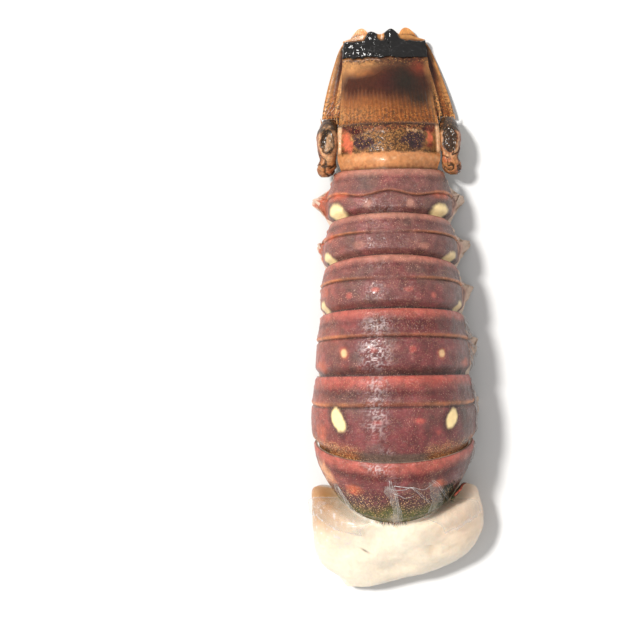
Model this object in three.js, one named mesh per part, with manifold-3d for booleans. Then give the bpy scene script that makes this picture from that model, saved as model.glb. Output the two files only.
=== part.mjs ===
// A raw spiny lobster tail lying shell up, with its peeled meat standing out of the cut front end.
// Millimetres, +Z up. +Y runs from the meat to the tail fan and +X is the side away from the light.
// Six shell rings lap over one another like tiles, each with a cream bar across its underside.
// Behind them lie the telson and the paired side plates of the fan; swimmerets fold under the belly.

import * as THREE from 'three';
import { mergeVertices } from 'three/addons/utils/BufferGeometryUtils.js';
import Module from 'manifold-3d';

const wasm = await Module();
wasm.setup();

// Lines across the back where one ring laps over the next, from the front flange to the fan.
// y and hinge: the side hinges. half: half width there. height: of the arch. lean: its tilt.
const LINES = [
  { y: -57.8, hinge: 11.0, half: 19.6, height: 21.3, lean: -32 },
  { y: -41.2, hinge: 12.5, half: 27.4, height: 26.0, lean: -14.5 },
  { y: -19.4, hinge: 13.0, half: 26.4, height: 27.2, lean: 1.7 },
  { y: 1.2, hinge: 13.0, half: 24.2, height: 25.0, lean: 5.7 },
  { y: 17.0, hinge: 12.5, half: 22.6, height: 21.8, lean: 12.0 },
  { y: 32.5, hinge: 12.0, half: 20.6, height: 17.8, lean: 10.4 },
  { y: 50.6, hinge: 11.0, half: 18.2, height: 14.0, lean: 0 },
];

// The six rings. groove: the cross groove's place from front to rear, at the middle and the sides.
// reach: how far the side plates hang below the hinges. left, right: how far their tips stand out.
// swell: how far a ring's sides bulge beyond the straight line between its front and rear.
const RINGS = [
  { groove: 0.66, sideGroove: 0.58, reach: 5.5, left: 0.3, right: 0.7, tip: 0.6, swell: 1.0 },
  { groove: 0.635, sideGroove: 0.58, reach: 12.7, left: -0.8, right: 1.5, tip: 0.5, swell: 0.5 },
  { groove: 0.54, sideGroove: 0.54, reach: 12.8, left: -0.8, right: 3.6, tip: 0.44, swell: 0.5 },
  { groove: 0.5, sideGroove: 0.57, reach: 12.5, left: 0.2, right: 4.4, tip: 0.44, swell: 0.7 },
  { groove: 0.5, sideGroove: 0.58, reach: 12.0, left: 2.8, right: 4.8, tip: 0.47, swell: 1.2 },
  { groove: 0.44, sideGroove: 0.44, reach: 10.8, left: 6.0, right: 4.8, tip: 0.4, swell: 1.8 },
];

// Shell
const SHELL = 1.2;
const CLEARANCE = 0.4;
const LAP = SHELL + CLEARANCE;
const LINING = LAP + SHELL;
const TUCK = 0.22;
const SWELL_TOP = 0.8;
const NOTCH_DEPTH = 0.55;
const NOTCH_SPREAD = 0.021;
const GROOVE_LIP = 0.25;
const LIP_BEHIND = 0.056;
const LIP_SPREAD = 0.035;
const RIM_ROLL = 0.45;
const RIM_ROLL_FROM = 0.95;
const RIM_THICKNESS = 0.7;
const UNDER_LAP = { from: 0.015, to: 0.15 };
const TIP_THICKNESS = 0.6;
const TIP_SWEEP = 2.2;
const FLARE_CURVE = 2.2;
const LAST_GROOVE_WAVE = 0.05;
const LAST_GROOVE_RATE = 7;
const ARCH_SHARE = 0.8;

// Side plates: the share of their reach at the front and rear corners, and how they rise and fall
const PLATE_FRONT = 0.3;
const PLATE_REAR = 0.26;
const PLATE_RISE = { from: -0.05, power: 1.15 };
const PLATE_FALL = { length: 0.34, power: 0.8 };
const PLATE_ROOT = { from: -0.01, to: 0.05 };

// Rows of a ring as shares of its length. The front ones lie under the ring in front.
const RING_COLUMNS = 30;
const FIRST_RING_ROWS = [0, 0.06, 0.16, 0.34, 0.5];
const LAPPED_RING_ROWS = [-TUCK, 0.01, 0.07, 0.15, 0.3];
const GROOVE_ROWS = [-0.042, 0, 0.049];
const REAR_ROWS = [0.8, 0.92, 0.975, 1];
const THICKENING = 0.9;

// Bars across the underside
const BAR_PLACE = 0.8;
const BAR_LEVEL = 9.2;
const BAR_HALF_HEIGHT = 1.1;
const BAR_HALF_WIDTH = 2.1;
const BAR_BOW = 2.6;
const BAR_INTO_WALL = 0.55;
const BAR_WALL_COLUMN = ARCH_SHARE + 0.04;
const BAR_STEPS = 10;
const BAR_SIDES = 8;

// Meat inside the rings and the lobe in front of them
const MEAT_DEPTH = LINING + 0.35;
const MEAT_BELLY = 11.6;
const MEAT_FRONT_BELLY = 3.5;
const MEAT_BELLY_RISE = 0.62;
const MEAT_SECTIONS = [0, 0.25, 0.5, 0.72, 1, 1.5, 2, 2.5, 3, 3.5, 4, 4.5, 5, 5.72];
const MEAT_ARCH_STEPS = 18;
const MEAT_CORNER = 3.5;
const LOBE = [
  { y: -59.8, left: -17.6, right: 17.6, hinge: 10.0, height: 18.2, lean: -31, low: 2.4, wrap: 0.8 },
  { y: -62.6, left: -27.4, right: 26.8, hinge: 9.2, height: 18.0, lean: -26, low: 2.2, wrap: 5.2 },
  { y: -68.0, left: -28.8, right: 29.6, hinge: 8.5, height: 16.4, lean: -19, low: 0, wrap: 5.0 },
  { y: -74.0, left: -28.6, right: 30.2, hinge: 7.5, height: 14.6, lean: -12, low: 0, wrap: 2.4 },
  { y: -80.0, left: -27.6, right: 26.4, hinge: 6.8, height: 12.0, lean: -6, low: 0, wrap: 0.6 },
  { y: -85.0, left: -24.8, right: 19.0, hinge: 6.0, height: 9.4, lean: 0, low: 0, wrap: 0 },
  { y: -89.2, left: -19.6, right: 5.0, hinge: 5.4, height: 6.6, lean: 0, low: 0, wrap: 0 },
  { y: -92.4, left: -17.6, right: -8.0, hinge: 4.6, height: 3.6, lean: 0, low: 1.2, wrap: 0 },
];
const LOBE_FULLNESS = 0.85;
const WRAP_CURVE = 3;
const MEAT_RELIEF = 0.5;

// Torn films of joint skin beside the front flange, and the loose tab of shell on the right
const FILM_LIFT = 0.45;
const FILM_OVER_MEAT = 1.5;
const FILM_THICKNESS = 0.35;
const FILMS = {
  left: { from: 112, to: 165 },
  right: { from: 20, to: 58 },
};
const FILM_ON_SHELL = 0.05;
const FILM_STEPS = 8;
const TAB = { front: 0.1, rear: 0.36, low: 14, high: 35, lift: 0.4, rise: 1.1, thickness: 0.9 };
const TAB_POINTING = 0.55;
const TAB_STEPS = [-1, -0.6, 0, 0.6, 1];

// Belly skin between the bars
const SKIN_LEVEL = 11.15;
const SKIN_THICKNESS = 0.55;
const SKIN_SIDE_GAP = 3.4;
const SKIN_FRONT = -43.0;
const SKIN_REAR = 45.0;
const SKIN_ROWS = 9;
const SKIN_COLUMNS = [-1, -0.5, 0, 0.5, 1];

// Tail fan. Each station gives the crown's height and how far the sides fall from it.
const FAN = [
  { y: 46.6, half: 15.6, crown: 22.8, fall: 10.4 },
  { y: 52.5, half: 16.8, crown: 23.1, fall: 11.2 },
  { y: 57.0, half: 17.2, crown: 21.9, fall: 10.4 },
  { y: 67.0, half: 16.8, crown: 18.6, fall: 8.0 },
  { y: 82.0, half: 15.4, crown: 12.4, fall: 5.2 },
  { y: 97.0, half: 14.3, crown: 5.4, fall: 2.0 },
];
const FAN_PLATE = 0.9;
const SIDE_PLATE = 0.75;
const FAN_CURVE = 1.7;
const FAN_SIDE_SLOPE = 1.2;
const FAN_TURN = 0.035;
const FAN_STEP = 0.6;
const FAN_HINGE = 67.0;
const FAN_END = 97.0;

// Telson
const TELSON_ROWS = [46.6, 50, 54, 60, 66.4, 67.6, 75, 83, 90, 91.2, 94, 96.6, 98.4];
const TELSON_INNER_ROWS = [46.6, 54, 60, 66, 69, 79, 90, 98.4];
const TELSON_COLUMNS = 18;
const TELSON_BASE = { thickness: 9.0, edge: 0.85, from: 60, to: 68, under: 11.0, underTo: 56 };
const TELSON_TUCK = { to: 50, depth: 0.32 };
const TELSON_TIP = { from: 97.5, middle: 2.2, narrowness: 3, corners: 1.4 };
const BAND = { front: 90.6, slope: 1.2, rise: 1.5 };
const FLOOR_GAP = 0.2;

// Bean-shaped bases of the side plates, each with a lump in front of it
const BASE_SECTIONS = [
  { y: 49.4, x: 22.6, z: 8.4, wide: 1.0, tall: 1.6 },
  { y: 50.6, x: 22.2, z: 8.8, wide: 2.5, tall: 3.2 },
  { y: 52.8, x: 21.9, z: 9.4, wide: 3.1, tall: 4.2 },
  { y: 55.2, x: 21.4, z: 10.2, wide: 2.5, tall: 3.6 },
  { y: 58.6, x: 21.5, z: 10.4, wide: 3.1, tall: 4.6 },
  { y: 63.0, x: 21.5, z: 9.8, wide: 3.3, tall: 4.8 },
  { y: 66.6, x: 21.0, z: 8.0, wide: 2.9, tall: 3.9 },
  { y: 69.2, x: 20.8, z: 6.6, wide: 1.8, tall: 2.4 },
];
const BASE_SIDES = 14;

// Inner and outer side plates. outer and inner: their edges at the root and at the tip.
// round: where along the plate its end starts to round off. depth: how far it lies under the telson.
const ENDOPOD = {
  front: 69.9, rear: 101.4, outer: 18.6, outerTip: 11.0, inner: 5.0, innerTip: 4.4,
  round: 0.76, root: 4, depth: 1.45,
};
const EXOPOD = {
  front: 69.9, rear: 97.8, outer: 23.0, outerTip: 14.6, inner: 10.5, innerTip: 9.5,
  round: 0.8, root: 5, depth: 2.7,
};
const PLATE_ROWS = [0, 0.07, 0.18, 0.35, 0.55, 0.75, 0.86, 0.94, 1];
const PLATE_COLUMNS = [0, 0.2, 0.5, 0.8, 1];
const PLATE_OUTER_CURVE = 1.3;
const PLATE_ROOT_LENGTH = 0.22;
const PLATE_END = 0.14;

// Swimmerets
const SWIMMERET_RINGS = [1, 2, 3, 4];
const SWIMMERET_SLANTS = { 1: 47, 2: 36, 3: 36, 4: 30 };
const HIP_INSET = 1.9;
const HIP_FORWARD = 3.6;
const BLADE_LENGTH = 31;
const BLADE_PAST_MIDDLE = 1.5;
const BLADE_HALF_WIDTH = 2.7;
const BLADE_LEVELS = { left: 5.4, right: 3.9 };
const PADDLE_HALF_WIDTH = 5.0;
const PADDLE_BACK = 3.0;
const PADDLE_LEVEL = 7.2;
const PADDLE_END_GAP = 0.6;
const LEAF_THICKNESS = 0.9;
const LEAF_DROOP = 0.32;
const LEAF_ROOT_SHARE = 0.2;
const LEAF_ROWS = [0, 0.1, 0.25, 0.45, 0.65, 0.85, 1];
const BLADE_FULLNESS = 0.8;
const PADDLE_FULLNESS = 0.75;

const COLOURS = {
  meat: 0xf5e3c8,
  shell: 0x8c5750,
  telson: 0x8a5a34,
  base: 0xd09062,
  side: 0xa9743f,
  blade: 0x2c2926,
  paddle: 0xc27a38,
  skin: 0xd49266,
  film: 0xd9d5c8,
  tab: 0x4a5138,
};

const clamp = THREE.MathUtils.clamp;
const lerp = THREE.MathUtils.lerp;
const radians = THREE.MathUtils.degToRad;
const ease = (low, high, x) => THREE.MathUtils.smoothstep(x, low, high);
const hump = (x) => Math.exp(-x * x);

// A smooth value of one field between the stations of a list, at station number t.
function between(list, field, t) {
  const i = clamp(Math.floor(t), 0, list.length - 2);
  const f = t - i;
  const value = (k) => list[clamp(k, 0, list.length - 1)][field];
  const a = value(i);
  const b = value(i + 1);
  const slopeA = i > 0 ? (b - value(i - 1)) / 2 : b - a;
  const slopeB = i < list.length - 2 ? (value(i + 2) - a) / 2 : b - a;
  const f2 = f * f;
  const f3 = f2 * f;
  return (2 * f3 - 3 * f2 + 1) * a + (f3 - 2 * f2 + f) * slopeA
    + (3 * f2 - 2 * f3) * b + (f3 - f2) * slopeB;
}

// The station number at which a list's y passes a given y.
function stationAt(list, y) {
  let low = 0;
  let high = list.length - 1;
  for (let step = 0; step < 30; step += 1) {
    const middle = (low + high) / 2;
    if (between(list, 'y', middle) < y) low = middle;
    else high = middle;
  }
  return (low + high) / 2;
}

// A closed geometry from points and triangles, with its faces turned to point out.
function closed(points, faces) {
  let volume = 0;
  for (const [a, b, c] of faces) {
    const cross = new THREE.Vector3().crossVectors(points[b], points[c]);
    volume += points[a].dot(cross);
  }
  const turned = volume > 0 ? faces : faces.map(([a, b, c]) => [a, c, b]);
  const geometry = new THREE.BufferGeometry();
  const flat = points.flatMap((p) => [p.x, p.y, p.z]);
  geometry.setAttribute('position', new THREE.Float32BufferAttribute(flat, 3));
  geometry.setIndex(turned.flat());
  return geometry;
}

// Triangles between two runs of points that share their ends, for runs of different length.
function zip(runA, runB) {
  const faces = [];
  let i = 0;
  let j = 0;
  while (i < runA.length - 1 || j < runB.length - 1) {
    const nextA = (i + 1) / (runA.length - 1);
    const nextB = (j + 1) / (runB.length - 1);
    const stepA = j === runB.length - 1 || (i < runA.length - 1 && nextA <= nextB);
    if (stepA) {
      faces.push([runA[i], runA[i + 1], runB[j]]);
      i += 1;
    } else {
      faces.push([runA[i], runB[j + 1], runB[j]]);
      j += 1;
    }
  }
  return faces;
}

// A solid between an outer and an inner sheet, each a list of rows of equally many points.
function slab(outer, inner) {
  const columns = outer[0].length;
  const points = [...outer.flat(), ...inner.flat()];
  const outerAt = (row, column) => row * columns + column;
  const innerAt = (row, column) => (outer.length + row) * columns + column;
  const faces = [];
  for (let column = 0; column < columns - 1; column += 1) {
    for (let row = 0; row < outer.length - 1; row += 1) {
      const a = outerAt(row, column);
      const b = outerAt(row, column + 1);
      const c = outerAt(row + 1, column + 1);
      const d = outerAt(row + 1, column);
      faces.push([a, b, c], [a, c, d]);
    }
    for (let row = 0; row < inner.length - 1; row += 1) {
      const a = innerAt(row, column);
      const b = innerAt(row, column + 1);
      const c = innerAt(row + 1, column + 1);
      const d = innerAt(row + 1, column);
      faces.push([a, c, b], [a, d, c]);
    }
    const front = [outerAt(0, column), outerAt(0, column + 1)];
    const frontInner = [innerAt(0, column), innerAt(0, column + 1)];
    faces.push([front[0], frontInner[1], front[1]], [front[0], frontInner[0], frontInner[1]]);
    const last = outer.length - 1;
    const lastInner = inner.length - 1;
    const rear = [outerAt(last, column), outerAt(last, column + 1)];
    const rearInner = [innerAt(lastInner, column), innerAt(lastInner, column + 1)];
    faces.push([rear[0], rear[1], rearInner[1]], [rear[0], rearInner[1], rearInner[0]]);
  }
  const run = (at, rows, column) => Array.from({ length: rows }, (_, row) => at(row, column));
  const right = columns - 1;
  const outerLeft = run(outerAt, outer.length, 0);
  const innerLeft = run(innerAt, inner.length, 0);
  const outerRight = run(outerAt, outer.length, right);
  const innerRight = run(innerAt, inner.length, right);
  faces.push(...zip(outerLeft, innerLeft));
  faces.push(...zip(outerRight, innerRight).map(([a, b, c]) => [a, c, b]));
  return closed(points, faces);
}

// A solid through a list of rings of equally many points, closed by a fan of faces at each end.
function loft(loops) {
  const count = loops[0].length;
  const points = loops.flat();
  const faces = [];
  for (let row = 0; row < loops.length - 1; row += 1) {
    for (let k = 0; k < count; k += 1) {
      const next = (k + 1) % count;
      const a = row * count + k;
      const b = row * count + next;
      const c = (row + 1) * count + next;
      const d = (row + 1) * count + k;
      faces.push([a, b, c], [a, c, d]);
    }
  }
  const middle = (loop) => loop
    .reduce((sum, p) => sum.add(p), new THREE.Vector3())
    .divideScalar(loop.length);
  const last = (loops.length - 1) * count;
  const frontCentre = points.push(middle(loops[0])) - 1;
  const rearCentre = points.push(middle(loops[loops.length - 1])) - 1;
  for (let k = 0; k < count; k += 1) {
    const next = (k + 1) % count;
    faces.push([frontCentre, next, k], [rearCentre, last + k, last + next]);
  }
  return closed(points, faces);
}

function toSolid(geometry) {
  const bare = geometry.clone();
  bare.deleteAttribute('normal');
  bare.deleteAttribute('uv');
  const merged = mergeVertices(bare, 1e-4);
  return new wasm.Manifold(new wasm.Mesh({
    numProp: 3,
    vertProperties: new Float32Array(merged.attributes.position.array),
    triVerts: new Uint32Array(merged.index.array),
  }));
}

function toGeometry(solid) {
  const mesh = solid.getMesh();
  const geometry = new THREE.BufferGeometry();
  geometry.setAttribute('position', new THREE.BufferAttribute(mesh.vertProperties, 3));
  geometry.setIndex(new THREE.BufferAttribute(mesh.triVerts, 1));
  return geometry;
}

function join(...geometries) {
  const [first, ...others] = geometries.map(toSolid);
  return toGeometry(others.reduce((whole, piece) => whole.add(piece), first));
}

// The line of the arched back at station t, with every field worked out.
function backLine(t) {
  return {
    y: between(LINES, 'y', t),
    hinge: between(LINES, 'hinge', t),
    half: between(LINES, 'half', t),
    height: between(LINES, 'height', t),
    lean: radians(between(LINES, 'lean', t)),
  };
}

// A point on the arch of the back: angle 0 is the right hinge and PI the left one.
// rise stands it off the arch along the arch's own normal.
function archPoint(line, angle, rise) {
  const normal = new THREE.Vector2(Math.cos(angle) * line.height, Math.sin(angle) * line.half);
  normal.normalize();
  const across = line.half * Math.cos(angle) + normal.x * rise;
  const up = line.height * Math.sin(angle) + normal.y * rise;
  return new THREE.Vector3(
    across,
    line.y + up * Math.sin(line.lean),
    line.hinge + up * Math.cos(line.lean),
  );
}

// Where a ring's cross groove runs, as a share of its length, at a share of the half width.
function groovePlace(ring, across) {
  const plain = lerp(ring.groove, ring.sideGroove, across * across);
  const last = RINGS.indexOf(ring) === RINGS.length - 1;
  return plain + (last ? LAST_GROOVE_WAVE * Math.cos(LAST_GROOVE_RATE * across) : 0);
}

// How far a ring's outer face stands off the arch, for place v along it.
function ringRise(ring, v, angle) {
  const across = Math.abs(Math.cos(angle));
  const under = -LAP * (1 - ease(UNDER_LAP.from, UNDER_LAP.to, v));
  const swell = lerp(SWELL_TOP, ring.swell, across * across) * Math.sin(Math.PI * clamp(v, 0, 1));
  const fromGroove = v - groovePlace(ring, across);
  const notch = -NOTCH_DEPTH * hump(fromGroove / NOTCH_SPREAD);
  const lip = GROOVE_LIP * hump((fromGroove - LIP_BEHIND) / LIP_SPREAD);
  const roll = -RIM_ROLL * ease(RIM_ROLL_FROM, 1, v);
  return under + swell + notch + lip + roll;
}

// How much of its full reach a side plate has at place v: a slow rise, a point, a quick fall.
function plateShare(ring, v) {
  if (v < ring.tip) {
    return lerp(PLATE_FRONT, 1, ease(PLATE_RISE.from, ring.tip, v) ** PLATE_RISE.power);
  }
  return lerp(1, PLATE_REAR, ease(ring.tip, ring.tip + PLATE_FALL.length, v) ** PLATE_FALL.power);
}

// A point of a ring. column runs from -1, the left plate's edge, over the back to 1.
function ringPoint(ring, v, column, depth) {
  const index = RINGS.indexOf(ring);
  const line = backLine(index + v);
  const side = Math.sign(column) || 1;
  const turn = Math.min(Math.abs(column) / ARCH_SHARE, 1);
  const angle = Math.PI / 2 * (1 - side * turn);
  const rise = ringRise(ring, v, angle) - depth;
  const onArch = archPoint(line, angle, rise);
  const drop = Math.max(Math.abs(column) - ARCH_SHARE, 0) / (1 - ARCH_SHARE);
  if (drop === 0) return onArch;
  const hang = drop * plateShare(ring, v) * ease(PLATE_ROOT.from, PLATE_ROOT.to, v);
  const flare = side > 0 ? ring.right : ring.left;
  const thinning = drop * clamp(depth - TIP_THICKNESS, 0, LINING);
  return new THREE.Vector3(
    onArch.x + side * (flare * hang ** FLARE_CURVE + thinning),
    onArch.y + TIP_SWEEP * hang * hang,
    onArch.z - ring.reach * hang,
  );
}

// One ring's arch with its side plates, before its bar is joined on.
function ringArch(ring) {
  const isFirst = ring === RINGS[0];
  const isLast = ring === RINGS[RINGS.length - 1];
  const columns = Array.from({ length: RING_COLUMNS + 1 }, (_, k) => (2 * k) / RING_COLUMNS - 1);
  const row = (v, depth) => columns.map((column) => ringPoint(ring, v, column, depth));
  const grooveRow = (step) => columns.map((column) => {
    const turn = Math.min(Math.abs(column) / ARCH_SHARE, 1) * Math.PI / 2;
    return ringPoint(ring, groovePlace(ring, Math.sin(turn)) + step, column, 0);
  });
  const outer = [
    ...(isFirst ? FIRST_RING_ROWS : LAPPED_RING_ROWS).map((v) => row(v, 0)),
    ...GROOVE_ROWS.map(grooveRow),
    ...REAR_ROWS.map((v) => row(v, 0)),
  ];
  const inner = [
    row(isFirst ? 0 : -TUCK, SHELL),
    row(isFirst ? 0.03 : 0.01, SHELL),
    row(0.1, isFirst ? SHELL : SHELL + THICKENING),
    row(0.4, isLast ? SHELL : LINING),
    row(0.72, isLast ? SHELL : LINING),
    row(0.765, SHELL),
    row(1, RIM_THICKNESS),
  ];
  return slab(outer, inner);
}

// The cream bar across a ring's underside, bowed so that its ends lie further forward.
function ringBar(ring) {
  const index = RINGS.indexOf(ring);
  const line = backLine(index + BAR_PLACE);
  const v = stationAt(LINES, line.y - BAR_BOW) - index;
  const wall = ringPoint(ring, v, BAR_WALL_COLUMN, 0);
  const half = wall.x - BAR_INTO_WALL;
  const loops = [];
  for (let k = 0; k <= BAR_STEPS; k += 1) {
    const across = (2 * k) / BAR_STEPS - 1;
    const loop = [];
    for (let side = 0; side < BAR_SIDES; side += 1) {
      const angle = (2 * Math.PI * side) / BAR_SIDES;
      loop.push(new THREE.Vector3(
        across * half,
        line.y - BAR_BOW * across * across + BAR_HALF_WIDTH * Math.cos(angle),
        BAR_LEVEL + BAR_HALF_HEIGHT * Math.sin(angle),
      ));
    }
    loops.push(loop);
  }
  return loft(loops);
}

function ringGeometry(ring) {
  return join(ringArch(ring), ringBar(ring));
}

// The flat underside of a section of the meat, with rounded corners, from left to right.
function meatFloor(left, right, hinge, low, y, wrap) {
  const corner = Math.min(MEAT_CORNER, (hinge - low) * 0.8);
  return [
    new THREE.Vector3(left + corner * 0.35, y + wrap, low + corner * 0.3),
    new THREE.Vector3(left + corner * 1.4, y + wrap * 0.7, low),
    new THREE.Vector3((left + right) / 2, y, low),
    new THREE.Vector3(right - corner * 1.4, y + wrap * 0.7, low),
    new THREE.Vector3(right - corner * 0.35, y + wrap, low + corner * 0.3),
  ];
}

// The uneven swell and sink of the meat's torn surface.
function meatRelief(x, y) {
  return MEAT_RELIEF * (Math.sin(0.31 * x + 0.17 * y) + Math.sin(0.23 * x - 0.41 * y + 1.3));
}

// A point over a section of the meat in front of the shell; share runs from its right to its left.
// lift stands the point off the meat.
function lobePoint(station, share, lift) {
  const { left, right, hinge, height, y, wrap } = station;
  const lean = radians(station.lean);
  const angle = Math.PI * share;
  const up = (height + lift) * Math.sin(angle) ** LOBE_FULLNESS;
  const x = (left + right) / 2 + ((right - left) / 2 + lift) * Math.cos(angle);
  const back = y + up * Math.sin(lean) + wrap * Math.abs(Math.cos(angle)) ** WRAP_CURVE;
  const relief = meatRelief(x, back) * Math.sin(angle);
  return new THREE.Vector3(x, back, hinge + up * Math.cos(lean) + relief);
}

// A whole section of that meat, gathered back at its sides by the wrap.
function lobeLoop(station) {
  const { left, right, hinge, low, y, wrap } = station;
  const shares = Array.from({ length: MEAT_ARCH_STEPS + 1 }, (_, k) => k / MEAT_ARCH_STEPS);
  const arch = shares.map((share) => lobePoint(station, share, 0));
  return [...arch, ...meatFloor(left, right, hinge, low, y, wrap)];
}

// A section of the meat inside the rings, at station t of the back.
function coreLoop(t) {
  const line = backLine(t);
  const arch = [];
  for (let k = 0; k <= MEAT_ARCH_STEPS; k += 1) {
    arch.push(archPoint(line, (Math.PI * k) / MEAT_ARCH_STEPS, -MEAT_DEPTH));
  }
  const half = line.half - MEAT_DEPTH;
  const low = lerp(MEAT_FRONT_BELLY, MEAT_BELLY, ease(0, MEAT_BELLY_RISE, t));
  return [...arch, ...meatFloor(-half, half, Math.max(line.hinge, low), low, line.y, 0)];
}

function meatGeometry() {
  return loft([...[...LOBE].reverse().map(lobeLoop), ...MEAT_SECTIONS.map(coreLoop)]);
}

// A film from the top of the front flange, over its edge and down onto the meat beside it.
function filmGeometry({ from, to }) {
  const ring = RINGS[0];
  const sheet = (lift) => {
    const rows = [[], [], [], []];
    for (let k = 0; k <= FILM_STEPS; k += 1) {
      const degrees = lerp(from, to, k / FILM_STEPS);
      const column = (1 - degrees / 90) * ARCH_SHARE;
      const share = degrees / 180;
      rows[0].push(ringPoint(ring, FILM_ON_SHELL, column, -lift));
      rows[1].push(ringPoint(ring, 0, column, -lift));
      rows[2].push(lobePoint(LOBE[1], share, lift + FILM_OVER_MEAT));
      rows[3].push(lobePoint(LOBE[2], share, lift + FILM_OVER_MEAT * 0.5));
    }
    return rows;
  };
  return slab(sheet(FILM_LIFT + FILM_THICKNESS), sheet(FILM_LIFT));
}

// The loose tab: a small leaf of shell lying on the first ring's side, its edges curled up.
function tabGeometry() {
  const sheet = (height) => TAB_STEPS.map((v) => TAB_STEPS.map((across) => {
    const width = across * (1 - TAB_POINTING * v * v);
    const place = lerp(TAB.front, TAB.rear, (v + 1) / 2);
    const degrees = lerp(TAB.low, TAB.high, (width + 1) / 2);
    const curl = TAB.rise * (v * v + across * across) / 2;
    return ringPoint(RINGS[0], place, (1 - degrees / 90) * ARCH_SHARE, -height - curl);
  }));
  return slab(sheet(TAB.lift + TAB.thickness), sheet(TAB.lift));
}

// The skin between the bars, a thin sheet just above them.
function skinGeometry() {
  const sheet = (level) => Array.from({ length: SKIN_ROWS }, (_, row) => {
    const y = lerp(SKIN_FRONT, SKIN_REAR, row / (SKIN_ROWS - 1));
    const half = backLine(stationAt(LINES, y)).half - SKIN_SIDE_GAP;
    return SKIN_COLUMNS.map((across) => new THREE.Vector3(across * half, y, level));
  });
  return slab(sheet(SKIN_LEVEL), sheet(SKIN_LEVEL - SKIN_THICKNESS));
}

// The height of the fan's arched top at x, y; the plates under it follow the same arch.
function fanHeight(x, y) {
  const t = stationAt(FAN, Math.min(y, FAN_END));
  const share = Math.abs(x) / between(FAN, 'half', t);
  const beyond = Math.max(share - 1, 0);
  const bend = Math.min(share, 1) ** FAN_CURVE + beyond * FAN_SIDE_SLOPE;
  return between(FAN, 'crown', t) - between(FAN, 'fall', t) * bend;
}

// How far the fan has turned aside at y, as the tail doesn't lie quite straight.
function fanTurn(y) {
  return -FAN_TURN * Math.max(y - FAN_HINGE, 0);
}

// The uneven height of the glossy lumpy band near the fan's end, as a share of its full rise.
function bandLumps(across) {
  return 0.75 + 0.35 * Math.cos(9 * across) + 0.3 * Math.sin(5 * across + 1);
}

// The telson: a hard arched base, then the flexible fan one step lower, with the band on it.
function telsonGeometry() {
  const columns = Array.from({ length: TELSON_COLUMNS + 1 }, (_, k) => (2 * k) / TELSON_COLUMNS - 1);
  const place = (across, y) => across * between(FAN, 'half', stationAt(FAN, Math.min(y, FAN_END)));
  const top = (across, y) => fanHeight(place(across, y), y) - (y > FAN_HINGE ? FAN_STEP : 0);
  const point = (across, y, z) => {
    const tip = TELSON_TIP.middle * hump(across * TELSON_TIP.narrowness)
      - TELSON_TIP.corners * across ** 6;
    const reach = y > TELSON_TIP.from ? tip : 0;
    return new THREE.Vector3(place(across, y) + fanTurn(y), y + reach, z);
  };
  const outer = TELSON_ROWS.map((y) => columns.map((across) => {
    const band = BAND.rise * bandLumps(across) * ease(BAND.front, BAND.front + BAND.slope, y);
    const tuck = y < TELSON_TUCK.to ? TELSON_TUCK.depth : 0;
    return point(across, y, top(across, y) + band - tuck);
  }));
  const inner = TELSON_INNER_ROWS.map((y) => columns.map((across) => {
    const solid = 1 - ease(TELSON_BASE.from, TELSON_BASE.to, y);
    const base = TELSON_BASE.thickness * (1 - TELSON_BASE.edge * across ** 2);
    const low = y < TELSON_BASE.underTo ? TELSON_BASE.under : FLOOR_GAP;
    const z = Math.max(top(across, y) - lerp(FAN_PLATE, base, solid), low);
    return point(across, y, Math.min(z, top(across, y) - FAN_PLATE));
  }));
  return slab(outer, inner);
}

// A leaf-shaped side plate of the fan, lying under the telson.
function fanPlate(side, plate) {
  const sheet = (down) => PLATE_ROWS.map((v) => {
    const y = lerp(plate.front, plate.rear, v);
    const rounding = Math.max(Math.sqrt(1 - ease(plate.round, 1, v) ** 2), PLATE_END);
    const outerX = lerp(plate.outer, plate.outerTip, v ** PLATE_OUTER_CURVE);
    const fullInner = lerp(plate.inner, plate.innerTip, v);
    const innerX = lerp(plate.outer - plate.root, fullInner, ease(0, PLATE_ROOT_LENGTH, v));
    const half = (outerX - innerX) / 2 * rounding;
    return PLATE_COLUMNS.map((column) => {
      const x = (outerX + innerX) / 2 + half * (2 * column - 1);
      const z = Math.max(fanHeight(x, y) - FAN_STEP - plate.depth, SIDE_PLATE);
      return new THREE.Vector3(side * x + fanTurn(y), y, z - down);
    });
  });
  return slab(sheet(0), sheet(SIDE_PLATE));
}

// The base of a side plate, through its sections.
function uropodBase(side) {
  const loops = BASE_SECTIONS.map((section) => Array.from({ length: BASE_SIDES }, (_, k) => {
    const angle = (2 * Math.PI * k) / BASE_SIDES;
    return new THREE.Vector3(
      side * (section.x + section.wide * Math.cos(angle)),
      section.y,
      section.z + section.tall * Math.sin(angle),
    );
  }));
  return loft(loops);
}

// A flat leaf from root to tip, widest part-way along, as used for a swimmeret's two leaves.
function leaf(root, tip, halfWidth, fullness) {
  const along = new THREE.Vector3().subVectors(tip, root);
  const across = new THREE.Vector3(-along.y, along.x, 0).normalize();
  const sheet = (down) => LEAF_ROWS.map((v) => {
    const width = halfWidth * lerp(LEAF_ROOT_SHARE, 1, Math.sin(Math.PI * v ** fullness) ** 0.8);
    const centre = new THREE.Vector3().copy(root).addScaledVector(along, v);
    return [-1, 0, 1].map((side) => {
      const point = new THREE.Vector3().copy(centre).addScaledVector(across, side * width);
      point.z -= down + (side === 0 ? 0 : LEAF_DROOP);
      return point;
    });
  });
  return slab(sheet(0), sheet(LEAF_THICKNESS));
}

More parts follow.
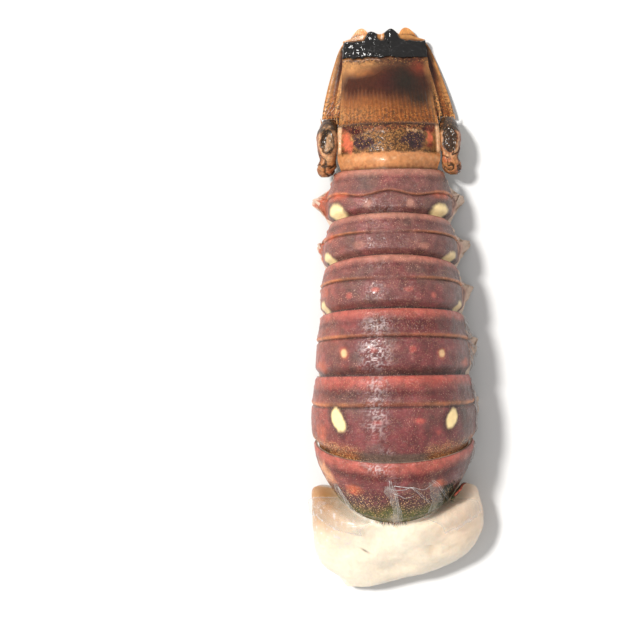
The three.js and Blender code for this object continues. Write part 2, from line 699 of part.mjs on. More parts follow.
// The two leaves of the swimmeret on one side of a ring: a dark blade and an amber paddle.
function swimmeret(index, word, side) {
  const line = backLine(index + BAR_PLACE);
  const slant = radians(SWIMMERET_SLANTS[index]);
  const toward = new THREE.Vector3(-side * Math.cos(slant), Math.sin(slant), 0);
  const hip = new THREE.Vector3(side * (line.half - HIP_INSET), line.y - HIP_FORWARD, 0);
  hip.z = BLADE_LEVELS[word];
  const toMiddle = Math.abs(hip.x) / Math.cos(slant);
  const bladeReach = Math.min(BLADE_LENGTH, toMiddle + BLADE_PAST_MIDDLE);
  const bladeTip = new THREE.Vector3().copy(hip).addScaledVector(toward, bladeReach);
  const root = new THREE.Vector3(hip.x, hip.y + PADDLE_BACK, PADDLE_LEVEL);
  const paddleReach = Math.min(BLADE_LENGTH, toMiddle) - PADDLE_HALF_WIDTH * Math.sin(slant)
    - PADDLE_END_GAP;
  const paddleTip = new THREE.Vector3().copy(root).addScaledVector(toward, paddleReach);
  return {
    blade: leaf(hip, bladeTip, BLADE_HALF_WIDTH, BLADE_FULLNESS),
    paddle: leaf(root, paddleTip, PADDLE_HALF_WIDTH, PADDLE_FULLNESS),
  };
}

const group = new THREE.Group();

function add(name, geometry, color, roughness) {
  const material = new THREE.MeshStandardMaterial({ color, roughness, metalness: 0 });
  const mesh = new THREE.Mesh(geometry, material);
  mesh.name = name;
  group.add(mesh);
}

add('meat', meatGeometry(), COLOURS.meat, 0.45);
RINGS.forEach((ring, index) => {
  add(`shell_ring_${index + 1}`, ringGeometry(ring), COLOURS.shell, 0.5);
});
add('joint_film_left', filmGeometry(FILMS.left), COLOURS.film, 0.3);
add('joint_film_right', filmGeometry(FILMS.right), COLOURS.film, 0.3);
add('shell_tab', tabGeometry(), COLOURS.tab, 0.6);
add('belly_skin', skinGeometry(), COLOURS.skin, 0.4);
add('telson', telsonGeometry(), COLOURS.telson, 0.35);
for (const [word, side] of [['left', -1], ['right', 1]]) {
  add(`uropod_base_${word}`, uropodBase(side), COLOURS.base, 0.45);
  add(`endopod_${word}`, fanPlate(side, ENDOPOD), COLOURS.side, 0.35);
  add(`exopod_${word}`, fanPlate(side, EXOPOD), COLOURS.side, 0.35);
  for (const index of SWIMMERET_RINGS) {
    const { blade, paddle } = swimmeret(index, word, side);
    add(`swimmeret_blade_${index + 1}_${word}`, blade, COLOURS.blade, 0.3);
    add(`swimmeret_paddle_${index + 1}_${word}`, paddle, COLOURS.paddle, 0.35);
  }
}

// The origin lies under the middle of the whole tail, at the height that it rests on.
const box = new THREE.Box3().setFromObject(group);
const centre = box.getCenter(new THREE.Vector3());
group.position.set(-centre.x, -centre.y, -box.min.z);

export default group;
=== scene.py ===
"""Finishes a raw spiny lobster tail that lies shell up, with its peeled meat out in front.

Every piece follows the same named sizes as the solids in the frame, worked out much finer, and
carries its own colours in a "tone" attribute and its speckle in a "grain" attribute. Sizes in
this file are millimetres in the maker's own drawing, where +Y runs from the meat to the fan;
place() moves them into the frame, in metres.
"""

import math

import bpy
import numpy as np
from bpy.props import FloatProperty, FloatVectorProperty, IntProperty, PointerProperty
from mathutils import Matrix, Vector


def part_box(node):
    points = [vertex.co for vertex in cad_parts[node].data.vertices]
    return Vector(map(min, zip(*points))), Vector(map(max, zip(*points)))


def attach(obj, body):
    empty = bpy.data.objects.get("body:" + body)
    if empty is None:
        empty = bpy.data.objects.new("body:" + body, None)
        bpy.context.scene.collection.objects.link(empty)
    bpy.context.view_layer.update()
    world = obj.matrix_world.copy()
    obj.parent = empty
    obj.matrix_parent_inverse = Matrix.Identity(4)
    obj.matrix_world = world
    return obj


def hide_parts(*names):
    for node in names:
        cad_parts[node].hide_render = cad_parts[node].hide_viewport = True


bl_info = {
    "name": "Lobster tail",
    "version": (1, 0, 0),
    "blender": (4, 5, 0),
    "location": "View3D > Sidebar > Lobster tail",
    "description": "Builds the pieces of a raw spiny lobster tail over its frame",
    "category": "Add Mesh",
}

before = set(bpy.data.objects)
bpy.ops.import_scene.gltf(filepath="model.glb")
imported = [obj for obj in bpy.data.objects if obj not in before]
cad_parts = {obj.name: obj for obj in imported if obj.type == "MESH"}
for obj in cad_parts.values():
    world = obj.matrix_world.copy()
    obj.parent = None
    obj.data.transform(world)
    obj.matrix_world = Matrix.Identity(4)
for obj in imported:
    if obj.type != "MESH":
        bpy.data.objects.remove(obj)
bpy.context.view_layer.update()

# The drawing's place in the frame: the belly skin is centred on its x and starts at this y
SKIN_FRONT = -43.0
SKIN_REAR = 45.0
SKIN_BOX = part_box("belly_skin")
SHIFT = np.array((
    500.0 * (SKIN_BOX[0].x + SKIN_BOX[1].x),
    1000.0 * SKIN_BOX[0].y - SKIN_FRONT,
    0.0,
))

# Lines across the back where one ring laps over the next: y, hinge height, half width, arch
# height and lean in degrees
LINES = np.array((
    (-57.8, 11.0, 19.6, 21.3, -32.0),
    (-41.2, 12.5, 27.4, 26.0, -14.5),
    (-19.4, 13.0, 26.4, 27.2, 1.7),
    (1.2, 13.0, 24.2, 25.0, 5.7),
    (17.0, 12.5, 22.6, 21.8, 12.0),
    (32.5, 12.0, 20.6, 17.8, 10.4),
    (50.6, 11.0, 18.2, 14.0, 0.0),
))

# Each ring: cross groove at the middle and at the sides, reach of the side plates, how far the
# left and right tips stand out, place of the tip, and swell of the sides
RINGS = (
    dict(groove=0.66, side=0.58, reach=5.5, left=0.3, right=0.7, tip=0.6, swell=1.0),
    dict(groove=0.635, side=0.58, reach=12.7, left=-0.8, right=1.5, tip=0.5, swell=0.5),
    dict(groove=0.54, side=0.54, reach=12.8, left=-0.8, right=3.6, tip=0.44, swell=0.5),
    dict(groove=0.5, side=0.57, reach=12.5, left=0.2, right=4.4, tip=0.44, swell=0.7),
    dict(groove=0.5, side=0.58, reach=12.0, left=2.8, right=4.8, tip=0.47, swell=1.2),
    dict(groove=0.44, side=0.44, reach=10.8, left=6.0, right=4.8, tip=0.4, swell=1.8),
)
FRONT_RING = 0
REAR_RING = len(RINGS) - 1
# Rings whose cross groove fades out over the middle of the back
BROKEN_GROOVES = (3, 4)
# How much brighter a face that looks up shows than its own colour
STAGE_LIGHT = 1.5

# The shell's thickness at its edge, under the back and at the rear rim, and how far a ring goes
# down and forward under the one in front of it
SHELL = 1.2
LINING = 2.8
THICKENING = 0.9
RIM_THICKNESS = 0.7
LAP = 1.6
TUCK = 0.22
# Relief across a ring: its swell, the cross groove with the lip behind it, and the rolled rim
SWELL_TOP = 0.8
NOTCH_DEPTH = 0.55
NOTCH_SPREAD = 0.021
GROOVE_LIP = 0.25
LIP_BEHIND = 0.056
LIP_SPREAD = 0.035
RIM_ROLL = 0.45
# The arch takes this share of a ring's columns, and the side plates hang from it
ARCH_SHARE = 0.8
TIP_THICKNESS = 0.6
TIP_SWEEP = 2.2
FLARE_CURVE = 2.2
PLATE_FRONT = 0.3
PLATE_REAR = 0.26
PLATE_FALL = 0.34
TOOTH_HEIGHT = 0.7
KNOB_HEIGHT = 0.5

# The bars under the rings
BAR_PLACE = 0.8
BAR_LEVEL = 9.2
BAR_HALF_HEIGHT = 1.1
BAR_HALF_WIDTH = 2.1
BAR_BOW = 2.6
BAR_INTO_WALL = 0.55
BAR_WALL_COLUMN = ARCH_SHARE + 0.04

# The muscle inside the rings
MEAT_DEPTH = LINING + 0.35
MEAT_BELLY = 11.6
MEAT_FRONT_BELLY = 3.5
MEAT_REAR = 5.72
MEAT_CORNER = 3.5
# The meat in front of the shell: y, left, right, hinge, height, lean, low, wrap
LOBE = np.array((
    (-59.8, -17.6, 17.6, 10.0, 18.2, -31, 2.4, 0.8),
    (-62.6, -27.4, 26.8, 9.2, 18.0, -26, 2.2, 5.2),
    (-68.0, -28.8, 29.6, 8.5, 16.4, -19, 0.0, 5.0),
    (-74.0, -28.6, 30.2, 7.5, 14.6, -12, 0.0, 2.4),
    (-80.0, -27.6, 26.4, 6.8, 12.0, -6, 0.0, 0.6),
    (-85.0, -24.8, 19.0, 6.0, 9.4, 0.0, 0.0, 0.0),
    (-89.2, -19.6, 5.0, 5.4, 6.6, 0.0, 0.0, 0.0),
    (-92.4, -17.6, -8.0, 4.6, 3.6, 0.0, 1.2, 0.0),
))
# The torn relief of that meat grows away from this point
LOBE_MIDDLE = (0.0, -62.0, 6.0)
# Joint films: degrees round the front ring where each begins and ends, lift and thickness
FILMS = {"left": (112.0, 165.0), "right": (20.0, 58.0)}
FILM_LIFT = 0.8
FILM_THICKNESS = 0.3
TORN_ROWS = 14

# The skin between the bars
SKIN_LEVEL = 11.15
SKIN_THICKNESS = 0.55
SKIN_SIDE_GAP = 3.4

# The tail fan: y, half width, crown height and how far the sides fall from it
FAN = np.array((
    (46.6, 15.6, 22.8, 10.4),
    (52.5, 16.8, 23.1, 11.2),
    (57.0, 17.2, 21.9, 10.4),
    (67.0, 16.8, 18.6, 8.0),
    (82.0, 15.4, 12.4, 5.2),
    (97.0, 14.3, 5.4, 2.0),
))
# Thickness of the telson's soft part and of the side plates
FAN_PLATE = 0.9
SIDE_PLATE = 0.75
# How the top falls to the sides and beyond them, the fan's turn aside, and its step at the hinge
FAN_CURVE = 1.7
FAN_SIDE_SLOPE = 1.2
FAN_TURN = 0.035
FAN_STEP = 0.6
FAN_HARD_END = 66.0
FAN_HINGE = 67.0
FAN_FRONT = 46.6
FAN_END = 97.0
FAN_REAR = 98.4
# How closely the ridges stand across the telson and the side plates
FAN_RIDGES = 76.0
PLATE_RIBS = 40.0
# The glossy band: its rise, and its two knobs by place across, half width, y, half length,
# height, and how far each stands out at the rear
BAND_RISE = 1.5
KNOBS = (
    (-0.3, 0.15, 97.6, 1.6, 1.35, 1.7),
    (0.19, 0.16, 97.8, 2.0, 1.5, 2.3),
)
# The fan's side plates, one over the other on each side
PLATES = {
    "endopod": dict(front=69.9, rear=101.4, outer=18.6, outer_tip=11.0, inner=5.0,
                    inner_tip=4.4, round=0.76, root=4.0, depth=1.45),
    "exopod": dict(front=69.9, rear=97.8, outer=23.0, outer_tip=14.6, inner=10.5,
                   inner_tip=9.5, round=0.8, root=5.0, depth=2.7),
}
# Sections of their bases from the front: y, x, z, half width and half height
BASE_SECTIONS = np.array((
    (49.4, 22.6, 8.4, 1.0, 1.6),
    (50.6, 22.2, 8.8, 2.5, 3.2),
    (52.8, 21.9, 9.4, 3.1, 4.2),
    (55.2, 21.4, 10.2, 2.5, 3.6),
    (58.6, 21.5, 10.4, 3.1, 4.6),
    (63.0, 21.5, 9.8, 3.3, 4.8),
    (66.6, 21.0, 8.0, 2.9, 3.9),
    (69.2, 20.8, 6.6, 1.8, 2.4),
))
BASE_INSET = 0.35
SPINE_RADIUS = 0.42
SPINES_A_SIDE = 7

# Swimmerets: degrees that they slant inwards on each ring that has them, and where they hang
SLANTS = {1: 47, 2: 36, 3: 36, 4: 30}
HIP_INSET = 1.9
HIP_FORWARD = 3.6
BLADE_LENGTH = 31.0
BLADE_PAST_MIDDLE = 1.5
BLADE_HALF_WIDTH = 2.7
BLADE_LEVELS = {"left": 5.4, "right": 3.9}
PADDLE_HALF_WIDTH = 5.0
PADDLE_BACK = 3.0
PADDLE_LEVEL = 7.2
PADDLE_END_GAP = 0.6
LEAF_THICKNESS = 0.9

# Strands of torn skin and hair: their radius, and how many hairs there are
THREAD_RADIUS = 0.09
TWIN_RADIUS = 0.06
HAIR_RADIUS = 0.1
HAIRS = 46
SHORT_HAIR_RADIUS = 0.11
SHORT_HAIRS = 90
FRINGE_RADIUS = 0.15
FRINGE_HAIRS = 120

# Points of each form's mesh along it and across or round it
STEPS = {
    "bar": (81, 24),
    "lobe": (150, 201),
    "film": (40, 61),
    "strip": (60, 25),
    "tab": (33, 33),
    "skin": (150, 60),
    "band": (94, 200),
    "plate": (110, 61),
    "base": (120, 96),
    "leaf": (60, 25),
}
TELSON_COLUMNS = 221

# The stage: half the floor's side in metres, the sun's place and the camera. The camera stands
# over one point of a line across the tail, and has another in the middle of its view; both are
# given by their x on that line, which its roll turns
FLOOR_HALF = 3.0
SUN_FROM = (-0.56, 0.32, 1.0)
SUN_SPREAD = 9.0
CAMERA_LENS = 104.8
CAMERA_SENSOR = 36.0
CAMERA_ROLL = 1.0
CAMERA_OVER = 4.0
CAMERA_SEEN = -25.53


def srgb(red, green, blue, light=1.0):
    """A linear colour from sRGB values of 0 to 255, as seen under a light of some strength."""
    value = np.array((red, green, blue)) / 255.0
    value = np.where(value <= 0.04045, value / 12.92, ((value + 0.055) / 1.055) ** 2.4)
    return tuple(value / light)


def colour(name, words, red, green, blue, light=STAGE_LIGHT):
    """A colour setting, from how the colour looks under the stage's light."""
    return FloatVectorProperty(
        name=name, description=words, default=srgb(red, green, blue, light), size=3,
        subtype="COLOR", min=0.0, max=1.0,
    )


class ShellLook(bpy.types.PropertyGroup):
    """Sizes and colours of the shell rings."""
    mauve: colour("Mauve", "Front half of a ring", 128, 56, 58)
    pale_mauve: colour("Pale mauve", "The paler rings near the fan", 134, 82, 76)
    rosy: colour("Rosy", "Rosy blotches", 168, 84, 84)
    # Also painted shade: laid over the right side of each ring
    grey: colour("Olive grey", "Olive-grey blotches", 104, 84, 74)
    rear: colour("Rear red", "Behind the cross groove", 110, 28, 28)
    rim: colour("Salmon rim", "Strip along a ring's rear edge", 208, 96, 82)
    pale_rim: colour("Pale rim", "The same strip near the fan", 202, 142, 120)
    gold: colour("Gold line", "Line behind the cross groove", 230, 142, 78)
    # Also painted light: the orange laid over the sunlit left side of each ring and its rim
    flame: colour("Orange", "Orange at the left side", 206, 98, 62)
    # Used as painted shade at the groove bottoms, in the gaps between rings and in the hinge
    # notches; also for the dark halos round the eye spots, the flange's front edge and the cracks
    # on the side plates
    line: colour("Dark line", "Bottom of the grooves", 44, 20, 20)
    eye: colour("Eye spot", "Large cream spots", 255, 225, 163, 1.05)
    spot: colour("Red spot", "Small coral spots", 222, 100, 88)
    dark: colour("Dark patch", "Beside the loose tab", 46, 48, 34)
    olive: colour("Olive", "Front flange", 98, 100, 34)
    dusk: colour("Dusk", "Speckled zone behind the flange", 108, 60, 56)
    side: colour("Side plates", "Side plates on the right", 232, 172, 150)
    pale: colour("Pale points", "Tips of the side plates", 250, 222, 198)
    # Painted highlight: colour of the whitish crackled shine on the wet back
    painted_highlight: colour("Sheen", "Whitish crackled streak over the back", 236, 214, 212)
    lining: colour("Lining", "Inner face of the shell", 226, 206, 184)
    relief: FloatProperty(
        name="Relief", description="Height of the pitted surface, in metres", default=0.00007,
        min=0.0, max=0.001, unit="LENGTH", precision=5)
    columns: IntProperty(
        name="Columns", description="Steps round one ring", default=264, min=60, max=600)
    rows: IntProperty(
        name="Rows", description="Steps along one ring", default=84, min=30, max=300)


class MeatLook(bpy.types.PropertyGroup):
    """Colours of the meat and of the films on it."""
    cream: colour("Cream", "Raw meat", 255, 240, 216, 1.26)
    pink: colour("Pink", "Thin meat at the right", 246, 214, 184, 1.35)
    amber: colour("Amber", "Dried skin at the left", 206, 152, 96)
    # Painted shade in the folds: the groove inside the right flap and the creases
    tan: colour("Tan", "Folds of the meat", 222, 186, 140)
    film: colour("Film", "Torn joint skin", 240, 232, 220)
    web: colour("Web", "White threads and edges of the skin", 250, 240, 236)
    hair: colour("Hair", "Brown hairs under the flange", 84, 54, 30)
    tab: colour("Tab", "Loose piece of shell", 44, 50, 34)


class FanLook(bpy.types.PropertyGroup):
    """Colours of the tail fan."""
    peach: colour("Peach", "Smooth band at the front", 220, 148, 94)
    gold: colour("Gold", "Speckled middle", 146, 98, 54)
    purple: colour("Purple", "Dark speckled patches", 78, 50, 52)
    orange: colour("Orange", "Side patches", 228, 116, 80)
    rust: colour("Rust", "Rusty patches", 132, 56, 36)
    amber: colour("Amber", "Ridged front of the fan", 156, 88, 36)
    brown: colour("Brown", "Dark middle of the fan", 74, 36, 22)
    wine: colour("Wine", "Reddish middle", 80, 30, 26)
    dark_and_shade: colour("Soot", "Darkest part of the fan", 44, 34, 26)
    # Dark patches and joints of the fan; also used as painted shade in the creases of the bases
    # and where the telson goes under the last ring
    umber: colour("Umber", "In front of the black band", 112, 70, 46)
    black: colour("Black", "Glossy band at the end", 16, 13, 12)
    tip: colour("Tips", "Amber edges and tips", 216, 152, 90)
    cream: colour("Cream", "Rims of the side bases", 240, 188, 142)


class BellyLook(bpy.types.PropertyGroup):
    """Colours of the underside."""
    skin: colour("Skin", "Skin between the bars", 232, 190, 172)
    bar: colour("Bar", "Cream bars", 246, 238, 212)
    olive: colour("Marks", "Dark marks on the bars", 84, 90, 62)
    blade: colour("Blade", "Dark leaves", 38, 34, 32)
    paddle: colour("Paddle", "Amber leaves", 226, 142, 52)
    teal: colour("Blue line", "Line under the side bases", 44, 84, 96)
    joint: colour("Joint", "Reddish joints of the swimmerets", 176, 84, 62)


class StageLook(bpy.types.PropertyGroup):
    """Floor, light and camera."""
    floor: colour("Floor", "Plain pale floor", 255, 255, 255)
    key: FloatProperty(
        name="Key light", description="Strength of the key light", default=3.9, min=0.0,
        max=50.0)
    fill: FloatProperty(
        name="Fill", description="Strength of the sky light", default=0.7, min=0.0, max=5.0)
    height: FloatProperty(
        name="Camera height", description="Height of the camera over the floor",
        default=0.65, min=0.2, max=3.0, unit="LENGTH")


def look(name):
    """The settings of one group."""
    return getattr(bpy.context.scene, name)


def rgb(setting):
    """A setting's colour as an array."""
    return np.array(tuple(setting))


# Small tools for numbers
HALVINGS = 26


def lerp(a, b, f):
    """A value between a and b."""
    return a + (b - a) * f


def ease(low, high, x):
    """Rises smoothly from 0 to 1 as x goes from low to high."""
    f = np.clip((np.asarray(x, float) - low) / (high - low), 0.0, 1.0)
    return f * f * (3.0 - 2.0 * f)


def hump(x):
    """A bell of height 1 round 0."""
    return np.exp(-np.square(x))


def blend(a, b, mask):
    """Colours a turned into b where mask is 1."""
    return a + (np.asarray(b) - a) * np.clip(mask, 0.0, 1.0)[..., None]


def between(table, t):
    """Smooth values of a table's fields at station numbers t."""
    t = np.asarray(t, float)
    last = len(table) - 1
    i = np.clip(np.floor(t).astype(int), 0, last - 1)
    f = (t - i)[..., None]
    a = table[i]
    b = table[i + 1]
    before = table[np.clip(i - 1, 0, last)]
    after = table[np.clip(i + 2, 0, last)]
    slope_a = np.where((i > 0)[..., None], (b - before) / 2, b - a)
    slope_b = np.where((i < last - 1)[..., None], (after - a) / 2, b - a)
    f2 = f * f
    f3 = f2 * f
    return ((2 * f3 - 3 * f2 + 1) * a + (f3 - 2 * f2 + f) * slope_a
            + (3 * f2 - 2 * f3) * b + (f3 - f2) * slope_b)


def station_at(table, y):
    """The station number at which a table's y passes a given y."""
    low = np.zeros_like(np.asarray(y, float))
    high = low + len(table) - 1
    for _ in range(HALVINGS):
        middle = (low + high) / 2
        under = between(table, middle)[..., 0] < y
        low = np.where(under, middle, low)
        high = np.where(under, high, middle)
    return (low + high) / 2


def cell_values(cells, seed):
    """Values from 0 to 1 for whole-number cells, mixed well by multiplying with large primes."""
    mixed = cells[..., 0] * 73856093 ^ cells[..., 1] * 19349663 ^ cells[..., 2] * 83492791
    mixed = (mixed ^ seed * 40503) & 0xFFFFFFFF
    mixed = ((mixed ^ (mixed >> 13)) * 1274126177) & 0xFFFFFFFF
    mixed = ((mixed ^ (mixed >> 16)) * 2246822519) & 0xFFFFFFFF
    return ((mixed >> 9) & 0xFFFF) / 65535.0


def noise(points, size, seed=0):
    """Smooth noise from -1 to 1 at points, with blotches of about a given size."""
    scaled = points / size + 1000.0
    cells = np.floor(scaled).astype(np.int64)
    f = scaled - cells
    f = f * f * (3.0 - 2.0 * f)
    total = 0.0
    for corner in range(8):
        step = np.array((corner & 1, corner >> 1 & 1, corner >> 2 & 1))
        weight = np.prod(np.where(step, f, 1.0 - f), axis=-1)
        total = total + weight * cell_values(cells + step, seed)
    return total * 2.0 - 1.0


def rough(points, size, seed=0, octaves=3):
    """Several sizes of noise together."""
    total = 0.0
    for octave in range(octaves):
        total = total + noise(points, size / 2 ** octave, seed + octave) / 2 ** octave
    return total / (2.0 - 1.0 / 2 ** (octaves - 1))


def stack(x, y, z):
    """Points from three arrays or numbers."""
    return np.stack(np.broadcast_arrays(x, y, z), axis=-1).astype(float)


def circle(count):
    """Angles of a number of points round a closed loop."""
    return np.linspace(0.0, 2.0 * np.pi, count + 1)[None, :-1]


# Meshes
def grid_quads(rows, columns, start=0, wrap=False):
    """Faces of a grid of points."""
    across = columns if wrap else columns - 1
    row, column = np.meshgrid(np.arange(rows - 1), np.arange(across), indexing="ij")
    after = (column + 1) % columns
    quads = np.stack((
        row * columns + column, row * columns + after,
        (row + 1) * columns + after, (row + 1) * columns + column,
    ), axis=-1)
    return quads.reshape(-1, 4) + start


def zip_runs(run_a, run_b):
    """Triangles between two runs of points of different length."""
    faces = []
    i = j = 0
    while i < len(run_a) - 1 or j < len(run_b) - 1:
        next_a = (i + 1) / max(len(run_a) - 1, 1)
        next_b = (j + 1) / max(len(run_b) - 1, 1)
        if j == len(run_b) - 1 or (i < len(run_a) - 1 and next_a <= next_b):
            faces.append((run_a[i], run_a[i + 1], run_b[j]))
            i += 1
        else:
            faces.append((run_a[i], run_b[j + 1], run_b[j]))
            j += 1
    return np.array(faces)


class Form:
    """A closed mesh in the making: points, faces, and the tone and grain of each point."""

    def __init__(self):
        self.points = []
        self.tones = []
        self.grains = []
        self.quads = []
        self.tris = []
        self.count = 0

    def add_points(self, points, tone, grain=0.0):
        """Adds points and gives back the number of the first."""
        flat = np.asarray(points, float).reshape(-1, 3)
        start = self.count
        self.points.append(flat)
        self.tones.append(np.broadcast_to(tone, np.shape(points)).reshape(-1, 3))
        self.grains.append(np.broadcast_to(grain, np.shape(points)[:-1]).reshape(-1))
        self.count += len(flat)
        return start

    def slab(self, outer, inner, outer_tone, inner_tone, grain=0.0, inner_grain=0.0):
        """A solid between two sheets of rows with equally many points."""
        rows, columns = outer.shape[:2]
        inner_rows = inner.shape[0]
        quads = []
        a = self.add_points(outer, outer_tone, grain)
        b = self.add_points(inner, inner_tone, inner_grain)
        quads.append(grid_quads(rows, columns, a))
        quads.append(grid_quads(inner_rows, columns, b)[:, ::-1])
        k = np.arange(columns - 1)
        quads.append(np.stack((a + k, b + k, b + k + 1, a + k + 1), axis=-1))
        top = a + (rows - 1) * columns
        low = b + (inner_rows - 1) * columns
        quads.append(np.stack((top + k, top + k + 1, low + k + 1, low + k), axis=-1))
        left = zip_runs(a + np.arange(rows) * columns, b + np.arange(inner_rows) * columns)
        right = zip_runs(
            a + np.arange(rows) * columns + columns - 1,
            b + np.arange(inner_rows) * columns + columns - 1)
        self.face_out(np.concatenate(quads), np.concatenate((left, right[:, ::-1])))

    def loft(self, loops, tone, grain=0.0):
        """A solid through closed loops, shut by a fan at each end."""
        rows, count = loops.shape[:2]
        start = self.add_points(loops, tone, grain)
        tone = np.broadcast_to(tone, loops.shape)
        ends = np.stack((loops[0].mean(0), loops[-1].mean(0)))
        end_tones = np.stack((tone[0].mean(0), tone[-1].mean(0)))
        centre = self.add_points(ends, end_tones)
        k = np.arange(count)
        after = (k + 1) % count
        last = start + (rows - 1) * count
        front = np.stack((np.full(count, centre), start + after, start + k), axis=-1)
        rear = np.stack((np.full(count, centre + 1), last + k, last + after), axis=-1)
        self.face_out(grid_quads(rows, count, start, wrap=True), np.concatenate((front, rear)))

    def face_out(self, quads, tris):
        """Adds faces, turned so that the solid's faces point out."""
        points = np.concatenate(self.points)
        halves = np.concatenate((quads[:, (0, 1, 2)], quads[:, (0, 2, 3)], tris))
        corner = points[halves] - points[halves[0, 0]]
        volume = np.einsum("ij,ij->", corner[:, 0], np.cross(corner[:, 1], corner[:, 2]))
        turned = volume < 0
        self.quads.append(quads[:, ::-1] if turned else quads)
        self.tris.append(tris[:, ::-1] if turned else tris)

    def finish(self, name, material, slot, nodes=(), sharp=None):
        """Makes the object, gives it its material and lets it ride on the root."""
        points = place(np.concatenate(self.points))
        quads = np.concatenate(self.quads)
        tris = np.concatenate(self.tris)
        mesh = bpy.data.meshes.new(name)
        loops = np.concatenate((quads.reshape(-1), tris.reshape(-1))).astype(np.int32)
        starts = np.concatenate((
            np.arange(len(quads)) * 4, len(quads) * 4 + np.arange(len(tris)) * 3,
        )).astype(np.int32)
        mesh.vertices.add(len(points))
        mesh.vertices.foreach_set("co", points.astype(np.float32).reshape(-1))
        mesh.loops.add(len(loops))
        mesh.loops.foreach_set("vertex_index", loops)
        mesh.polygons.add(len(starts))
        mesh.polygons.foreach_set("loop_start", starts)
        mesh.polygons.foreach_set("use_smooth", np.ones(len(starts), bool))
        mesh.update(calc_edges=True)
        tone = np.ones((len(points), 4), np.float32)
        tone[:, :3] = np.clip(np.concatenate(self.tones), 0.0, 1.0)
        layer = mesh.attributes.new("tone", "FLOAT_COLOR", "POINT")
        layer.data.foreach_set("color", tone.reshape(-1))
        layer = mesh.attributes.new("grain", "FLOAT", "POINT")
        layer.data.foreach_set("value", np.concatenate(self.grains).astype(np.float32))
        if sharp:
            mesh.set_sharp_from_angle(angle=math.radians(sharp))
        mesh.validate()
        mesh.materials.append(material)
        piece = bpy.data.objects.new(name, mesh)
        bpy.context.scene.collection.objects.link(piece)
        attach(piece, "root")
        if nodes:
            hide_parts(*nodes)
        return piece


def place(points):
    """Moves drawing points in millimetres into the frame, in metres."""
    return (np.asarray(points, float) + SHIFT) * 0.001


